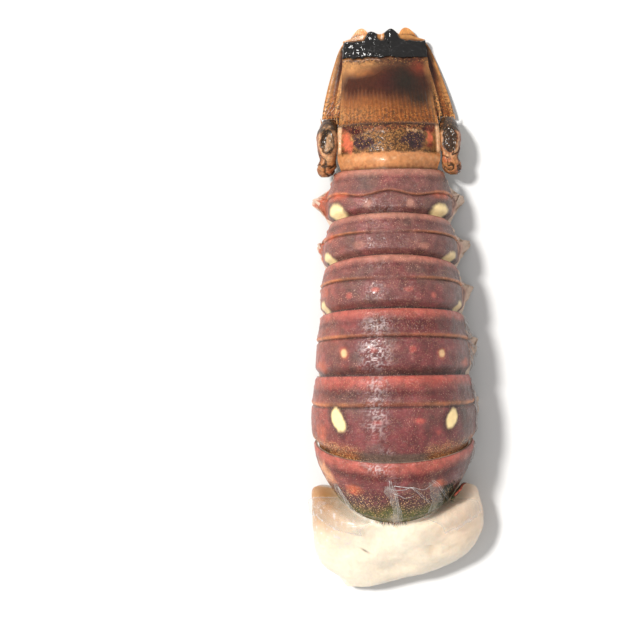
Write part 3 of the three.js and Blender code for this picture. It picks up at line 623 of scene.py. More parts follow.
# Materials
class Nodes:
    """Short ways to add nodes to a material."""

    def __init__(self, name):
        self.material = bpy.data.materials.new(name)
        self.material.use_nodes = True
        self.tree = self.material.node_tree
        self.tree.nodes.clear()
        self.shader = self.add("ShaderNodeBsdfPrincipled")
        output = self.add("ShaderNodeOutputMaterial")
        self.link(self.shader.outputs[0], output.inputs["Surface"])
        self.where = self.add("ShaderNodeTexCoord").outputs["Object"]

    def add(self, kind, **values):
        """A node with some of its values set."""
        node = self.tree.nodes.new(kind)
        for key, value in values.items():
            setattr(node, key, value)
        return node

    def link(self, source, target):
        """Joins an output to an input, or sets a plain value."""
        if isinstance(source, bpy.types.NodeSocket):
            self.tree.links.new(source, target)
        else:
            target.default_value = source

    def attribute(self, name):
        """A named attribute of the mesh."""
        node = self.add("ShaderNodeAttribute", attribute_name=name)
        return node.outputs["Color"] if name == "tone" else node.outputs["Fac"]

    def noise(self, size, detail=3.0, rough_share=0.5, stretch=None):
        """Noise from 0 to 1 with blotches of a size in millimetres."""
        node = self.add("ShaderNodeTexNoise")
        node.inputs["Scale"].default_value = 1000.0 / size
        node.inputs["Detail"].default_value = detail
        node.inputs["Roughness"].default_value = rough_share
        where = self.where
        if stretch:
            mapping = self.add("ShaderNodeMapping")
            mapping.inputs["Scale"].default_value = stretch
            self.link(where, mapping.inputs["Vector"])
            where = mapping.outputs[0]
        self.link(where, node.inputs["Vector"])
        return node.outputs[0]

    def cells(self, size, randomness=1.0):
        """Distance from the middles of random cells of a size in millimetres."""
        node = self.add("ShaderNodeTexVoronoi")
        node.inputs["Scale"].default_value = 1000.0 / size
        node.inputs["Randomness"].default_value = randomness
        self.link(self.where, node.inputs["Vector"])
        return node.outputs["Distance"]

    def edges(self, size):
        """Distance from the borders of random cells of a size in millimetres."""
        node = self.add("ShaderNodeTexVoronoi", feature="DISTANCE_TO_EDGE")
        node.inputs["Scale"].default_value = 1000.0 / size
        bent = self.add("ShaderNodeMix", data_type="VECTOR")
        bent.inputs[0].default_value = 0.0007
        drift = self.add("ShaderNodeTexNoise")
        drift.inputs["Scale"].default_value = 700.0 / size
        self.link(self.where, bent.inputs[4])
        self.link(drift.outputs["Color"], bent.inputs[5])
        self.link(bent.outputs[1], node.inputs["Vector"])
        return node.outputs["Distance"]

    def map(self, value, low, high, to_low=0.0, to_high=1.0):
        """A value moved smoothly from one range to another."""
        node = self.add("ShaderNodeMapRange", interpolation_type="SMOOTHSTEP")
        for key, number in zip(("From Min", "From Max", "To Min", "To Max"),
                               (low, high, to_low, to_high)):
            node.inputs[key].default_value = number
        self.link(value, node.inputs["Value"])
        return node.outputs[0]

    def math(self, kind, a, b):
        """Sum, product and the like of two values."""
        node = self.add("ShaderNodeMath", operation=kind)
        self.link(a, node.inputs[0])
        self.link(b, node.inputs[1])
        return node.outputs[0]

    def mix(self, a, b, share, kind="MIX"):
        """A mix of two colours."""
        node = self.add("ShaderNodeMix", data_type="RGBA", blend_type=kind)
        self.link(share, node.inputs[0])
        self.link(a, node.inputs[6])
        self.link(b, node.inputs[7])
        return node.outputs[2]

    def brightness(self, tone):
        """How bright a colour is."""
        node = self.add("ShaderNodeRGBToBW")
        self.link(tone, node.inputs[0])
        return node.outputs[0]

    def bump(self, height, distance, strength=1.0, normal=None):
        """A bump from a height, with its depth in millimetres."""
        node = self.add("ShaderNodeBump")
        node.inputs["Strength"].default_value = strength
        node.inputs["Distance"].default_value = distance * 0.001
        self.link(height, node.inputs["Height"])
        if normal is not None:
            self.link(normal, node.inputs["Normal"])
        return node.outputs[0]

    def specks(self, tone, source, start, full, where, values, share):
        """Specks of an sRGB colour where a source falls from start to full."""
        mask = self.math("MULTIPLY", self.map(source, start, full), where)
        mask = self.math("MULTIPLY", mask, share)
        return self.mix(tone, tone4(srgb(*values)), mask)

    def relief(self, normal):
        """Gives the surface and its wet coat the same relief."""
        self.link(normal, self.shader.inputs["Normal"])
        self.link(normal, self.shader.inputs["Coat Normal"])

    def set(self, **values):
        """Sets the shader's own sockets."""
        for key, value in values.items():
            self.shader.inputs[key.replace("_", " ")].default_value = value


def tone4(values):
    """A colour with its alpha."""
    return (*values, 1.0)


def shell_finish():
    """Wet pitted shell: its own tones, salt-like pale specks, dark grit and a crackled film."""
    n = Nodes("wet_shell")
    tone = n.attribute("tone")
    grain = n.attribute("grain")
    plain = n.map(n.brightness(tone), 0.25, 0.5, 1.0, 0.25)
    mottle = n.map(n.noise(2.6, 4.0, 0.55), 0.3, 0.7, 0.56, 1.32)
    shaded = n.mix(tone, mottle, n.math("MULTIPLY", plain, 0.66), "MULTIPLY")
    patches = n.map(n.noise(4.5, 2.0), 0.42, 0.6, 0.15, 1.0)
    salted = n.math("MULTIPLY", patches, plain)
    shaded = n.specks(shaded, n.cells(0.75), 0.2, 0.12, salted, (232, 176, 150), 0.6)
    grit = n.noise(0.6, 2.0, 0.6)
    shaded = n.specks(shaded, grit, 0.5, 0.42, grain, (34, 22, 20), 0.7)
    shaded = n.specks(shaded, n.cells(0.54), 0.33, 0.2, grain, (232, 186, 128), 0.85)
    n.link(shaded, n.shader.inputs["Base Color"])
    swell = n.bump(n.noise(2.6, 2.0, 0.5), 0.3, 0.6)
    pits = n.bump(n.noise(0.9, 3.0, 0.6), 0.14, 0.6, swell)
    crackle = n.map(n.edges(1.25), 0.0, 0.3, 1.0, 0.0)
    n.relief(n.bump(crackle, 0.1, 0.6, pits))
    n.link(n.map(n.noise(2.4, 3.0), 0.3, 0.7, 0.34, 0.6), n.shader.inputs["Roughness"])
    n.set(Coat_Weight=0.6, Coat_Roughness=0.17, Specular_IOR_Level=0.2)
    return n.material


def meat_finish():
    """Moist raw flesh, soft and slightly clear."""
    n = Nodes("raw_meat")
    tone = n.attribute("tone")
    shade = n.map(n.noise(5.0, 4.0, 0.6), 0.3, 0.7, 0.9, 1.06)
    shaded = n.mix(tone, shade, 0.7, "MULTIPLY")
    fibre = n.noise(1.1, 3.0, 0.55, (1.0, 0.3, 1.0))
    shaded = n.mix(shaded, n.map(fibre, 0.35, 0.7, 0.93, 1.05), 0.5, "MULTIPLY")
    n.link(shaded, n.shader.inputs["Base Color"])
    soft = n.bump(n.noise(3.2, 3.0), 0.5, 0.35)
    n.relief(n.bump(fibre, 0.12, 0.4, soft))
    n.link(n.map(n.noise(2.0, 2.0), 0.3, 0.7, 0.32, 0.55), n.shader.inputs["Roughness"])
    n.set(Subsurface_Weight=0.5, Subsurface_Scale=0.004, Coat_Weight=0.5,
          Coat_Roughness=0.24, Subsurface_Radius=(1.0, 0.6, 0.4))
    return n.material


def film_finish(name, alpha):
    """Thin wet joint skin that lets what is under it show."""
    n = Nodes(name)
    tone = n.attribute("tone")
    wrinkle = n.noise(1.4, 4.0, 0.6, (1.0, 0.35, 1.0))
    n.link(n.mix(tone, n.map(wrinkle, 0.3, 0.7, 0.8, 1.15), 0.7, "MULTIPLY"),
           n.shader.inputs["Base Color"])
    veil = n.math("MULTIPLY", n.map(wrinkle, 0.35, 0.65, 0.6, 1.2), alpha)
    n.link(n.math("ADD", veil, n.math("MULTIPLY", n.attribute("grain"), 0.26)),
           n.shader.inputs["Alpha"])
    n.relief(n.bump(wrinkle, 0.25, 0.6))
    n.set(Roughness=0.22, Coat_Weight=0.4, Coat_Roughness=0.1)
    return n.material


def horn_finish(name, roughness=0.3, coat=0.4, soak=0.1, uneven=0.8):
    """Smooth wet horn with its own tones, for the fan, bars and swimmerets."""
    n = Nodes(name)
    tone = n.attribute("tone")
    grain = n.attribute("grain")
    mottle = n.map(n.noise(1.6, 4.0, 0.6), 0.32, 0.68, 0.78, 1.17)
    shaded = n.mix(tone, mottle, uneven, "MULTIPLY")
    grit = n.noise(0.8, 2.0, 0.6)
    shaded = n.specks(shaded, grit, 0.52, 0.44, grain, (34, 22, 18), 0.85)
    shaded = n.specks(shaded, n.cells(0.66), 0.3, 0.16, grain, (214, 158, 88), 0.7)
    n.link(shaded, n.shader.inputs["Base Color"])
    swell = n.bump(n.noise(2.2, 3.0, 0.55), 0.3, 0.5)
    n.relief(n.bump(n.noise(0.8, 4.0, 0.6), 0.1, 0.5, swell))
    n.link(n.map(n.brightness(tone), 0.006, 0.05, 0.14, roughness), n.shader.inputs["Roughness"])
    n.set(Coat_Weight=coat, Coat_Roughness=0.14, Subsurface_Weight=soak,
          Subsurface_Scale=0.0015, Specular_IOR_Level=0.22)
    return n.material


# The back and its rings
def arch_point(line, angle, rise):
    """A point on the arch of the back, stood off it by a rise along its own normal."""
    y, hinge, half, height, lean = np.moveaxis(line, -1, 0)
    lean = np.radians(lean)
    nx = np.cos(angle) * height
    nz = np.sin(angle) * half
    length = np.hypot(nx, nz)
    across = half * np.cos(angle) + nx / length * rise
    up = height * np.sin(angle) + nz / length * rise
    return stack(across, y + up * np.sin(lean), hinge + up * np.cos(lean))


def column_at(degrees):
    """The column of a ring at an angle round it from the right hinge."""
    return (1.0 - degrees / 90.0) * ARCH_SHARE


def arch_turn(column):
    """How far down the arch a column lies: 0 on top, 1 at the hinge and below it."""
    return np.minimum(np.abs(column) / ARCH_SHARE, 1.0)


def plate_drop(column):
    """How far down a side plate a column lies: 0 at the hinge, 1 at the plate's edge."""
    return np.maximum(np.abs(column) - ARCH_SHARE, 0.0) / (1.0 - ARCH_SHARE)


def side_of(column):
    """-1 on the left and 1 on the right."""
    return np.where(column < 0, -1.0, 1.0)


def groove_place(index, across):
    """Where a ring's cross groove runs, as a share of its length."""
    ring = RINGS[index]
    plain = lerp(ring["groove"], ring["side"], across * across)
    return plain + (0.05 * np.cos(7.0 * across) if index == REAR_RING else 0.0)


def unbroken(index, across, fade, spread):
    """How much of a ring's groove is left at a place across."""
    return 1.0 - (fade * hump(across / spread) if index in BROKEN_GROOVES else 0.0)


def ring_rise(index, v, angle):
    """How far a ring's outer face stands off the arch."""
    across = np.abs(np.cos(angle))
    under = -LAP * (1.0 - ease(0.015, 0.15, v))
    swell = lerp(SWELL_TOP, RINGS[index]["swell"], across ** 2)
    swell = swell * np.sin(np.pi * np.clip(v, 0.0, 1.0))
    from_groove = v - groove_place(index, across)
    kept = unbroken(index, across, 0.75, 0.34) * (0.3 if index == FRONT_RING else 1.0)
    notch = -NOTCH_DEPTH * kept * hump(from_groove / NOTCH_SPREAD)
    lip = GROOVE_LIP * kept * hump((from_groove - LIP_BEHIND) / LIP_SPREAD)
    roll = -RIM_ROLL * ease(0.95, 1.0, v)
    return under + swell + notch + lip + roll


def plate_share(index, v):
    """How much of its full reach a side plate has at place v."""
    tip = RINGS[index]["tip"]
    rise = lerp(PLATE_FRONT, 1.0, ease(-0.05, tip, v) ** 1.15)
    fall = lerp(1.0, PLATE_REAR, ease(tip, tip + PLATE_FALL, v) ** 0.8)
    return np.where(v < tip, rise, fall)


def ring_point(index, v, column, depth):
    """A point of a ring. column runs from -1 at the left plate's edge to 1 at the right one's."""
    v, column, depth = np.broadcast_arrays(v, column, depth)
    ring = RINGS[index]
    side = side_of(column)
    angle = np.pi / 2 * (1.0 - side * arch_turn(column))
    on_arch = arch_point(between(LINES, index + v), angle, ring_rise(index, v, angle) - depth)
    drop = plate_drop(column)
    hang = drop * plate_share(index, v) * ease(-0.01, 0.05, v)
    flare = np.where(side > 0, ring["right"], ring["left"])
    thinning = drop * np.clip(depth - TIP_THICKNESS, 0.0, LINING)
    on_arch[..., 0] += side * (flare * hang ** FLARE_CURVE + thinning)
    on_arch[..., 1] += TIP_SWEEP * hang * hang
    on_arch[..., 2] -= ring["reach"] * hang
    return on_arch


# Spots: ring, place along it, degrees round it from the right hinge, half sizes along and round
# in millimetres, lean, and how strongly they show
EYE_SPOTS = (
    (1, 0.48, 130.5, 3.8, 2.8, 0.36, 1.0),
    (1, 0.47, 46.0, 3.2, 2.5, -0.28, 1.0),
    (3, 0.1, 162.0, 2.3, 3.2, 0.3, 0.85),
    (3, 0.09, 17.0, 2.1, 3.2, -0.3, 0.75),
    (4, 0.11, 158.0, 2.2, 3.4, 0.4, 0.9),
    (4, 0.09, 25.0, 2.1, 3.4, -0.4, 0.8),
    (5, 0.13, 151.0, 2.9, 4.4, 0.0, 1.0),
    (5, 0.11, 33.0, 2.6, 3.9, 0.1, 1.0),
)
CREAM_SPOTS = (
    (2, 0.32, 127.0, 1.5, 1.5, 0.0, 1.0),
    (2, 0.3, 51.0, 1.4, 1.3, 0.0, 0.9),
)
RED_SPOTS = (
    (1, 0.475, 100.0, 0.8, 1.9, 0.0, 0.35),
    (1, 0.48, 72.0, 0.9, 1.8, 0.1, 0.75),
    (1, 0.335, 58.0, 0.9, 1.1, 0.0, 0.35),
    (2, 0.355, 75.0, 1.1, 1.2, 0.0, 0.75),
    (2, 0.345, 103.0, 0.9, 1.1, 0.0, 0.35),
    (3, 0.245, 125.0, 1.1, 1.2, 0.0, 0.85),
    (3, 0.31, 102.0, 0.8, 1.6, 0.0, 0.8),
    (3, 0.315, 76.0, 0.8, 1.6, 0.0, 0.6),
    (3, 0.235, 54.0, 1.0, 1.0, 0.0, 0.65),
    (4, 0.25, 118.0, 1.2, 2.2, 0.0, 0.5),
    (4, 0.215, 60.0, 1.1, 1.9, 0.0, 0.55),
    (5, 0.22, 111.0, 1.4, 1.4, 0.0, 0.6),
    (5, 0.22, 70.0, 1.4, 1.4, 0.0, 0.5),
)
# Dark notches beside the hinges: painted shade in the hinge holes
NOTCHES = (
    (1, 0.02, 150.0, 1.0, 2.0, 0.0, 0.7),
    (2, 0.03, 27.0, 0.9, 2.2, 0.0, 0.9),
    (3, 0.02, 20.0, 0.9, 2.0, 0.0, 0.9),
    (4, 0.035, 163.0, 0.9, 2.4, 0.0, 0.9),
    (4, 0.03, 18.0, 0.9, 2.4, 0.0, 0.9),
    (5, 0.02, 156.0, 1.0, 3.2, 0.0, 1.0),
    (5, 0.02, 28.0, 1.0, 3.2, 0.0, 1.0),
)
# Orange patches low on the sides
ORANGE_PATCHES = (
    (0, 0.68, 152.0, 3.4, 3.4, 0.8, 1.0),
    (0, 0.57, 122.0, 1.7, 2.8, 0.2, 0.9),
    (0, 0.64, 55.0, 1.1, 2.6, -0.2, 0.85),
    (1, 0.28, 150.0, 2.6, 3.4, 0.0, 0.7),
    (2, 0.14, 156.0, 1.8, 4.2, 0.0, 0.9),
    (2, 0.18, 20.0, 1.5, 3.6, 0.0, 0.6),
    (3, 0.4, 160.0, 1.6, 4.0, 0.0, 0.6),
    (4, 0.6, 156.0, 1.6, 4.5, 0.0, 0.6),
    (5, 0.45, 150.0, 1.6, 4.5, 0.0, 0.8),
    (5, 0.45, 30.0, 1.4, 4.0, 0.0, 0.6),
)
# Nearly black patches: beside the loose tab, and low on the second ring's right side
DARK_PATCHES = (
    (0, 0.4, 43.5, 2.6, 3.4, -0.3, 1.5),
    (1, 0.12, 30.0, 1.4, 3.0, 0.0, 0.6),
    (1, 0.5, 33.0, 5.0, 2.0, 0.0, 0.5),
)
# Painted highlight: whitish streaks over each ring: place along it, column, half sizes along and
# round, strength
PAINTED_HIGHLIGHT_STREAKS = (
    ((0.93, -0.1, 0.06, 0.07, 0.8), (0.5, 0.0, 0.3, 0.06, 0.25)),
    ((0.9, -0.1, 0.12, 0.07, 0.45), (0.55, -0.1, 0.2, 0.06, 0.7), (0.1, -0.05, 0.08, 0.05, 0.5)),
    ((0.75, -0.09, 0.14, 0.08, 0.55), (0.3, -0.11, 0.24, 0.08, 1.0)),
    ((0.8, -0.1, 0.12, 0.08, 0.2), (0.3, -0.1, 0.14, 0.05, 0.25)),
    ((0.7, -0.1, 0.2, 0.1, 0.15),),
    ((0.1, -0.05, 0.06, 0.14, 0.3),),
)
# How pale each ring is
PALENESS = (0.1, 0.0, 0.1, 0.4, 0.7, 0.8)
# How far the red spots of each ring fade to its rim's pale colour
SPOT_FADING = (0.0, 0.0, 0.0, 0.2, 0.8, 1.0)


def spot_share(points, index, spot, grow=1.0, soft=0.2):
    """How much each point of a ring lies in a spot: 1 in the middle, 0.5 on its edge."""
    ring, v, degrees, along, round_it, lean, strength = spot
    if ring != index:
        return np.zeros(points.shape[:-1])
    centre = ring_point(index, v, column_at(degrees), 0.0)
    away = points - centre
    around = np.hypot(away[..., 0], away[..., 2]) * np.sign(away[..., 0])
    wobble = 0.09 * noise(points, 2.2, 5) + 0.06 * noise(points, 0.8, 6)
    distance = np.hypot(away[..., 1] / along, (around + lean * away[..., 1]) / round_it) / grow
    return (1.0 - ease(1.0 - soft, 1.0 + soft, distance + wobble)) * strength


def mottled(tone, points, seed):
    """Breaks a tone up with rosy, olive-grey and darker blotches."""
    shell = look("tail_shell")
    rosy = ease(0.0, 0.5, rough(points, 8.0, seed))
    grey = ease(0.0, 0.5, rough(points, 6.5, seed + 5))
    tone = blend(tone, rgb(shell.rosy), rosy * 0.5)
    tone = blend(tone, rgb(shell.grey), grey * 0.5)
    fine = 0.24 * rough(points, 3.4, seed + 9) + 0.05 * noise(points, 0.7, seed + 12)
    return tone * (1.0 + fine[..., None])


def painted_highlight_tone(index, tone, v, column, points, fine):
    """A painted highlight: a whitish crackled net of shine over a ring's wet back, darker between
    its lines.
    """
    shell = look("tail_shell")
    net = ease(0.2, 0.0, np.abs(noise(points, 1.3, 91)))
    net = np.maximum(net, ease(0.16, 0.0, np.abs(noise(points, 0.8, 92))))
    for place_v, place_column, long, wide, strength in PAINTED_HIGHLIGHT_STREAKS[index]:
        away = np.hypot((v - place_v) / long, (column - place_column + 0.02 * fine) / wide)
        painted_highlight = np.clip(1.3 * hump(away) * (1.0 + 0.7 * fine), 0.0, 1.0) * strength
        tone = tone * (1.0 - 0.25 * painted_highlight * (1.0 - net))[..., None]
        tone = blend(tone, rgb(shell.painted_highlight), painted_highlight * net)
    return tone


def flange_tone(tone, grain, v, column, blotch):
    """The dusky front ring with its olive flange in two lobes."""
    shell = look("tail_shell")
    dusky = ease(0.66, 0.42, v + 0.06 * blotch)
    tone = blend(tone, rgb(shell.dusk), dusky * 0.8)
    lobes = ease(0.4, 0.16, v + 0.07 * blotch - 0.1 * hump(column / 0.07))
    tone = blend(tone, rgb(shell.olive), lobes)
    web = hump((column + 0.005) / 0.045) * ease(0.3, 0.1, v)
    tone = blend(tone, rgb(shell.pale), web * 0.5)
    tone = blend(tone, rgb(shell.line), ease(0.03, 0.0, v) * 0.8)
    return tone, grain + 0.8 * dusky * (1.0 - 0.5 * lobes)


def spots_tone(index, tone, grain, points):
    """The patches, notches and spots of a ring."""
    shell = look("tail_shell")

    def share_of(spot, grow, soft):
        return spot_share(points, index, spot, grow, soft)

    for spot in ORANGE_PATCHES:
        share = share_of(spot, 1.0, 0.6)
        tone = blend(tone, rgb(shell.flame) * 1.2, share)
        if index == FRONT_RING:
            tone = blend(tone, rgb(shell.eye), share * ease(135.0, 145.0, spot[2]) * 0.3)
        else:
            grain = grain * (1.0 - share)
    for spot in DARK_PATCHES:
        tone = blend(tone, rgb(shell.dark), share_of(spot, 1.0, 0.4))
    # Painted shade in the hinge holes
    for spot in NOTCHES:
        tone = blend(tone, rgb(shell.line) * 0.6, share_of(spot, 1.0, 0.3))
    for spot in EYE_SPOTS:
        halo = share_of(spot, 1.5, 0.35)
        tone = blend(tone, rgb(shell.line) * 1.4, halo * (0.7 if index in (1, 5) else 0.3))
        share = share_of(spot, 1.0, 0.22 if index == 1 else 0.34)
        tone = blend(tone, rgb(shell.eye), share)
        grain = grain * (1.0 - share)
    cream = lerp(rgb(shell.eye), rgb(shell.spot), 0.3)
    for spot in CREAM_SPOTS:
        tone = blend(tone, rgb(shell.flame), share_of(spot, 1.35, 0.4) * 0.6)
        tone = blend(tone, cream, share_of(spot, 0.9, 0.35) * 0.9)
    faded = lerp(rgb(shell.spot), rgb(shell.pale_rim) * 1.15, SPOT_FADING[index])
    for spot in RED_SPOTS:
        tone = blend(tone, faded, share_of(spot, 1.0, 0.5))
    return tone, grain


def ring_tone(index, v, column, points):
    """The colours of a ring's outer face, and its grain."""
    shell = look("tail_shell")
    pale = PALENESS[index]
    across = np.sin(arch_turn(column) * np.pi / 2)
    drop = plate_drop(column)
    from_groove = v - groove_place(index, across)
    blotch = rough(points, 7.0, 11 + index)
    fine = rough(points, 2.2, 21 + index)
    lit_left_side = ease(-0.2, -0.75, column + 0.12 * blotch)
    grain = 0.16 + 0.16 * blotch

    # Mauve in front of the groove, redder behind it, with darker and warmer zones
    tone = blend(rgb(shell.mauve) + 0.0 * points, rgb(shell.pale_mauve), pale + 0.0 * v)
    rear = ease(0.0, 0.17, from_groove + 0.02 * blotch)
    tone = blend(tone, lerp(rgb(shell.rear), rgb(shell.pale_mauve), pale), rear)
    tone = mottled(tone, points, 30 + 3 * index)
    # Painted light: orange over the sunlit left side of the ring
    tone = blend(tone, rgb(shell.flame), lit_left_side * lerp(0.5, 0.32, pale))
    # Painted shade: olive-grey over the right side, which faces away from the light
    tone = blend(tone, rgb(shell.grey), ease(0.3, 0.7, column + 0.1 * blotch) * 0.42)
    before_rim = hump((v - 0.79 - 0.01 * blotch) / 0.04) * (0.55 - 0.3 * pale)
    tone = blend(tone, rgb(shell.rear) * 0.7, before_rim)

    # The gold line behind the groove, the salmon rim with painted light on its left side, and the
    # painted highlight
    kept = unbroken(index, across, 0.85, 0.36)
    if index != FRONT_RING:
        gold = hump((from_groove - 0.035) / 0.026) * lerp(0.3, 1.0, across ** 2) * kept
        brighter = lerp(1.0, 1.25, ease(0.3, 0.8, across))
        tone = blend(tone, rgb(shell.gold) * brighter[..., None], gold * (0.75 + 0.4 * fine))
    rim = ease(0.8, 0.95, v + 0.025 * blotch)
    rim_tone = lerp(rgb(shell.rim), rgb(shell.pale_rim), pale)
    tone = blend(tone, rim_tone, rim * (0.86 - 0.14 * fine))
    # Painted light: the rim turned orange on the sunlit left side
    tone = blend(tone, rgb(shell.flame), rim * lit_left_side * 0.35)
    if index in BROKEN_GROOVES:
        tone = blend(tone, rgb(shell.pale_rim) * 1.1, rim * ease(0.7, 0.1, across) * 0.5)
    # Painted highlight: whitish crackled streaks where the wet back catches the light
    tone = painted_highlight_tone(index, tone, v, column, points, fine)

    # Painted shade: dark lines in the gap at the rear edge, at the bottom of the cross groove and
    # under the rim of the ring in front; then what only the front three rings have
    tone = blend(tone, rgb(shell.line), ease(0.985, 1.0, v) * 0.6)
    if index != FRONT_RING:
        tone = blend(tone, rgb(shell.line), hump(from_groove / 0.012) * 0.8 * kept)
        tone = blend(tone, rgb(shell.line) * 0.6, ease(0.05, 0.012, v))
    if index == FRONT_RING:
        tone, grain = flange_tone(tone, grain, v, column, blotch)
    if index == 1:
        dotted = ease(0.24, 0.1, v + 0.05 * fine) * ease(0.3, 0.55, across)
        tone = blend(tone, rgb(shell.gold) * 0.9, dotted * 0.6)
        middle = ease(0.14, 0.08, v + 0.03 * blotch) * ease(0.5, 0.36, across)
        tone = blend(tone, rgb(shell.grey) * 1.5, middle * 0.9)
        grain = grain + dotted
    if index == 2:
        tone = blend(tone, rgb(shell.dusk) * 0.7, ease(0.14, 0.05, v + 0.04 * fine) * 0.8)
    tone, grain = spots_tone(index, tone, grain, points)

    # The side plates
    plate = ease(0.02, 0.45, drop + 0.2 * fine)
    plate_tone = np.where(column[..., None] < 0, rgb(shell.flame), rgb(shell.side))
    tone = blend(tone, plate_tone, plate * 0.85)
    crack = hump((drop - 0.42 - 0.3 * fine) / 0.1)
    tone = blend(tone, rgb(shell.line) * 2.2, plate * crack * 0.7)
    tipped = np.where(column < 0, ease(0.8, 1.0, drop + 0.2 * fine), ease(0.5, 0.85, drop))
    tone = blend(tone, rgb(shell.pale), tipped * 0.85)
    return tone, np.clip(grain, 0.0, 1.0)


def ring_form(index):
    """One ring's shell, as a solid."""
    shell = look("tail_shell")
    first = index == FRONT_RING
    last = index == REAR_RING
    start = 0.0 if first else -TUCK
    columns = np.linspace(-1.0, 1.0, shell.columns + 1)[None, :]
    groove = RINGS[index]["groove"]
    tucked = [] if first else np.linspace(start, 0.0, 5)[:-1]
    plain = np.concatenate((tucked, np.linspace(0.0, 1.0, shell.rows)))[:, None]
    across = np.sin(arch_turn(columns) * np.pi / 2)
    pull = np.where(plain < groove, np.clip(plain / groove, 0, 1), (1 - plain) / (1 - groove))
    v = plain + (groove_place(index, across) - groove) * pull
    flat = ring_point(index, v, columns, 0.0)
    drop = plate_drop(columns)
    free = ease(0.0, 0.12, v) * ease(1.0, 0.97, v)
    pits = shell.relief * 1000.0 * (rough(flat, 1.1, 31) + 2.2 * rough(flat, 6.0, 41)) * free
    outer = ring_point(index, v, columns, -pits)
    teeth = np.abs(np.sin(v * 19.0 + index)) - 0.5
    teeth = TOOTH_HEIGHT * teeth * ease(0.1, 0.3, v) * drop ** 4
    knobs = KNOB_HEIGHT * rough(flat, 2.4, 51) * drop
    outer[..., 0] += side_of(columns) * (teeth + knobs)
    outer[..., 2] += 0.6 * teeth + knobs
    tone, grain = ring_tone(index, v, columns + 0.0 * v, flat)
    plan = (
        (start, SHELL),
        (0.03 if first else 0.01, SHELL),
        (0.1, SHELL if first else SHELL + THICKENING),
        (0.4, SHELL if last else LINING),
        (0.72, SHELL if last else LINING),
        (0.765, SHELL),
        (1.0, RIM_THICKNESS),
    )
    inner = np.stack([ring_point(index, place_v, columns[0], depth) for place_v, depth in plan])
    form = Form()
    form.slab(outer, inner, tone, rgb(shell.lining), grain)
    return form


def bar_form(index):
    """The cream bar across a ring's underside."""
    belly = look("tail_belly")
    line = between(LINES, np.array(index + BAR_PLACE))
    v = float(station_at(LINES, np.array(line[0] - BAR_BOW))) - index
    half = ring_point(index, v, BAR_WALL_COLUMN, 0.0)[0] - BAR_INTO_WALL
    rows, sides = STEPS["bar"]
    across = np.linspace(-1.0, 1.0, rows)[:, None]
    angle = circle(sides)
    swell = 1.0 + 0.18 * np.cos(across * 9.0) * (1.0 - across ** 2)
    y = line[0] - BAR_BOW * across ** 2 + BAR_HALF_WIDTH * swell * np.cos(angle)
    z = BAR_LEVEL + BAR_HALF_HEIGHT * np.sin(angle)
    loops = stack(across * half, y, z)
    dark = ease(0.34, 0.5, rough(loops * (1.0, 0.6, 1.0), 2.4, 7 + index))
    tone = blend(rgb(belly.bar) + 0 * loops, rgb(belly.olive), dark * 0.8)
    form = Form()
    form.loft(loops, tone)
    return form


# The meat
def lobe_point(stations, share, lift):
    """A point over the meat in front of the shell; share runs from its right to its left."""
    y, left, right, hinge, height, lean, low, wrap = np.moveaxis(stations, -1, 0)
    angle = np.pi * share
    up = (height + lift) * np.sin(angle) ** 0.85
    x = (left + right) / 2 + ((right - left) / 2 + lift) * np.cos(angle)
    lean = np.radians(lean)
    back = y + up * np.sin(lean) + wrap * np.abs(np.cos(angle)) ** 3
    relief = 0.5 * (np.sin(0.31 * x + 0.17 * back) + np.sin(0.23 * x - 0.41 * back + 1.3))
    return stack(x, back, hinge + up * np.cos(lean) + relief * np.sin(angle))


def meat_floor(left, right, hinge, low, y, wrap):
    """The flat underside of each section of the meat, with rounded corners."""
    corner = np.minimum(MEAT_CORNER, (hinge - low) * 0.8)
    return np.stack((
        stack(left + corner * 0.35, y + wrap, low + corner * 0.3),
        stack(left + corner * 1.4, y + wrap * 0.7, low),
        stack((left + right) / 2, y, low),
        stack(right - corner * 1.4, y + wrap * 0.7, low),
        stack(right - corner * 0.35, y + wrap, low + corner * 0.3),
    ), axis=1)


def meat_loops():
    """The plain meat: closed loops from the front of the lobe to the rear of the muscle."""
    rows, columns = STEPS["lobe"]
    share = np.linspace(0.0, 1.0, columns)[None, :]
    stations = between(LOBE, np.linspace(len(LOBE) - 1.0, 0.0, rows))
    arch = lobe_point(stations[:, None, :], share, 0.0)
    y, left, right, hinge, _, _, low, wrap = stations.T
    lobe = np.concatenate((arch, meat_floor(left, right, hinge, low, y, wrap)), axis=1)
    t = np.concatenate((np.linspace(0.0, 1.0, 12), np.linspace(1.25, MEAT_REAR, 24)))
    lines = between(LINES, t)
    inside = arch_point(lines[:, None, :], np.pi * share, -MEAT_DEPTH)
    low = lerp(MEAT_FRONT_BELLY, MEAT_BELLY, ease(0.0, 0.62, t))
    half = lines[:, 2] - MEAT_DEPTH
    floor = meat_floor(-half, half, np.maximum(lines[:, 1], low), low, lines[:, 0], 0 * t)
    return np.concatenate((lobe, np.concatenate((inside, floor), axis=1)))


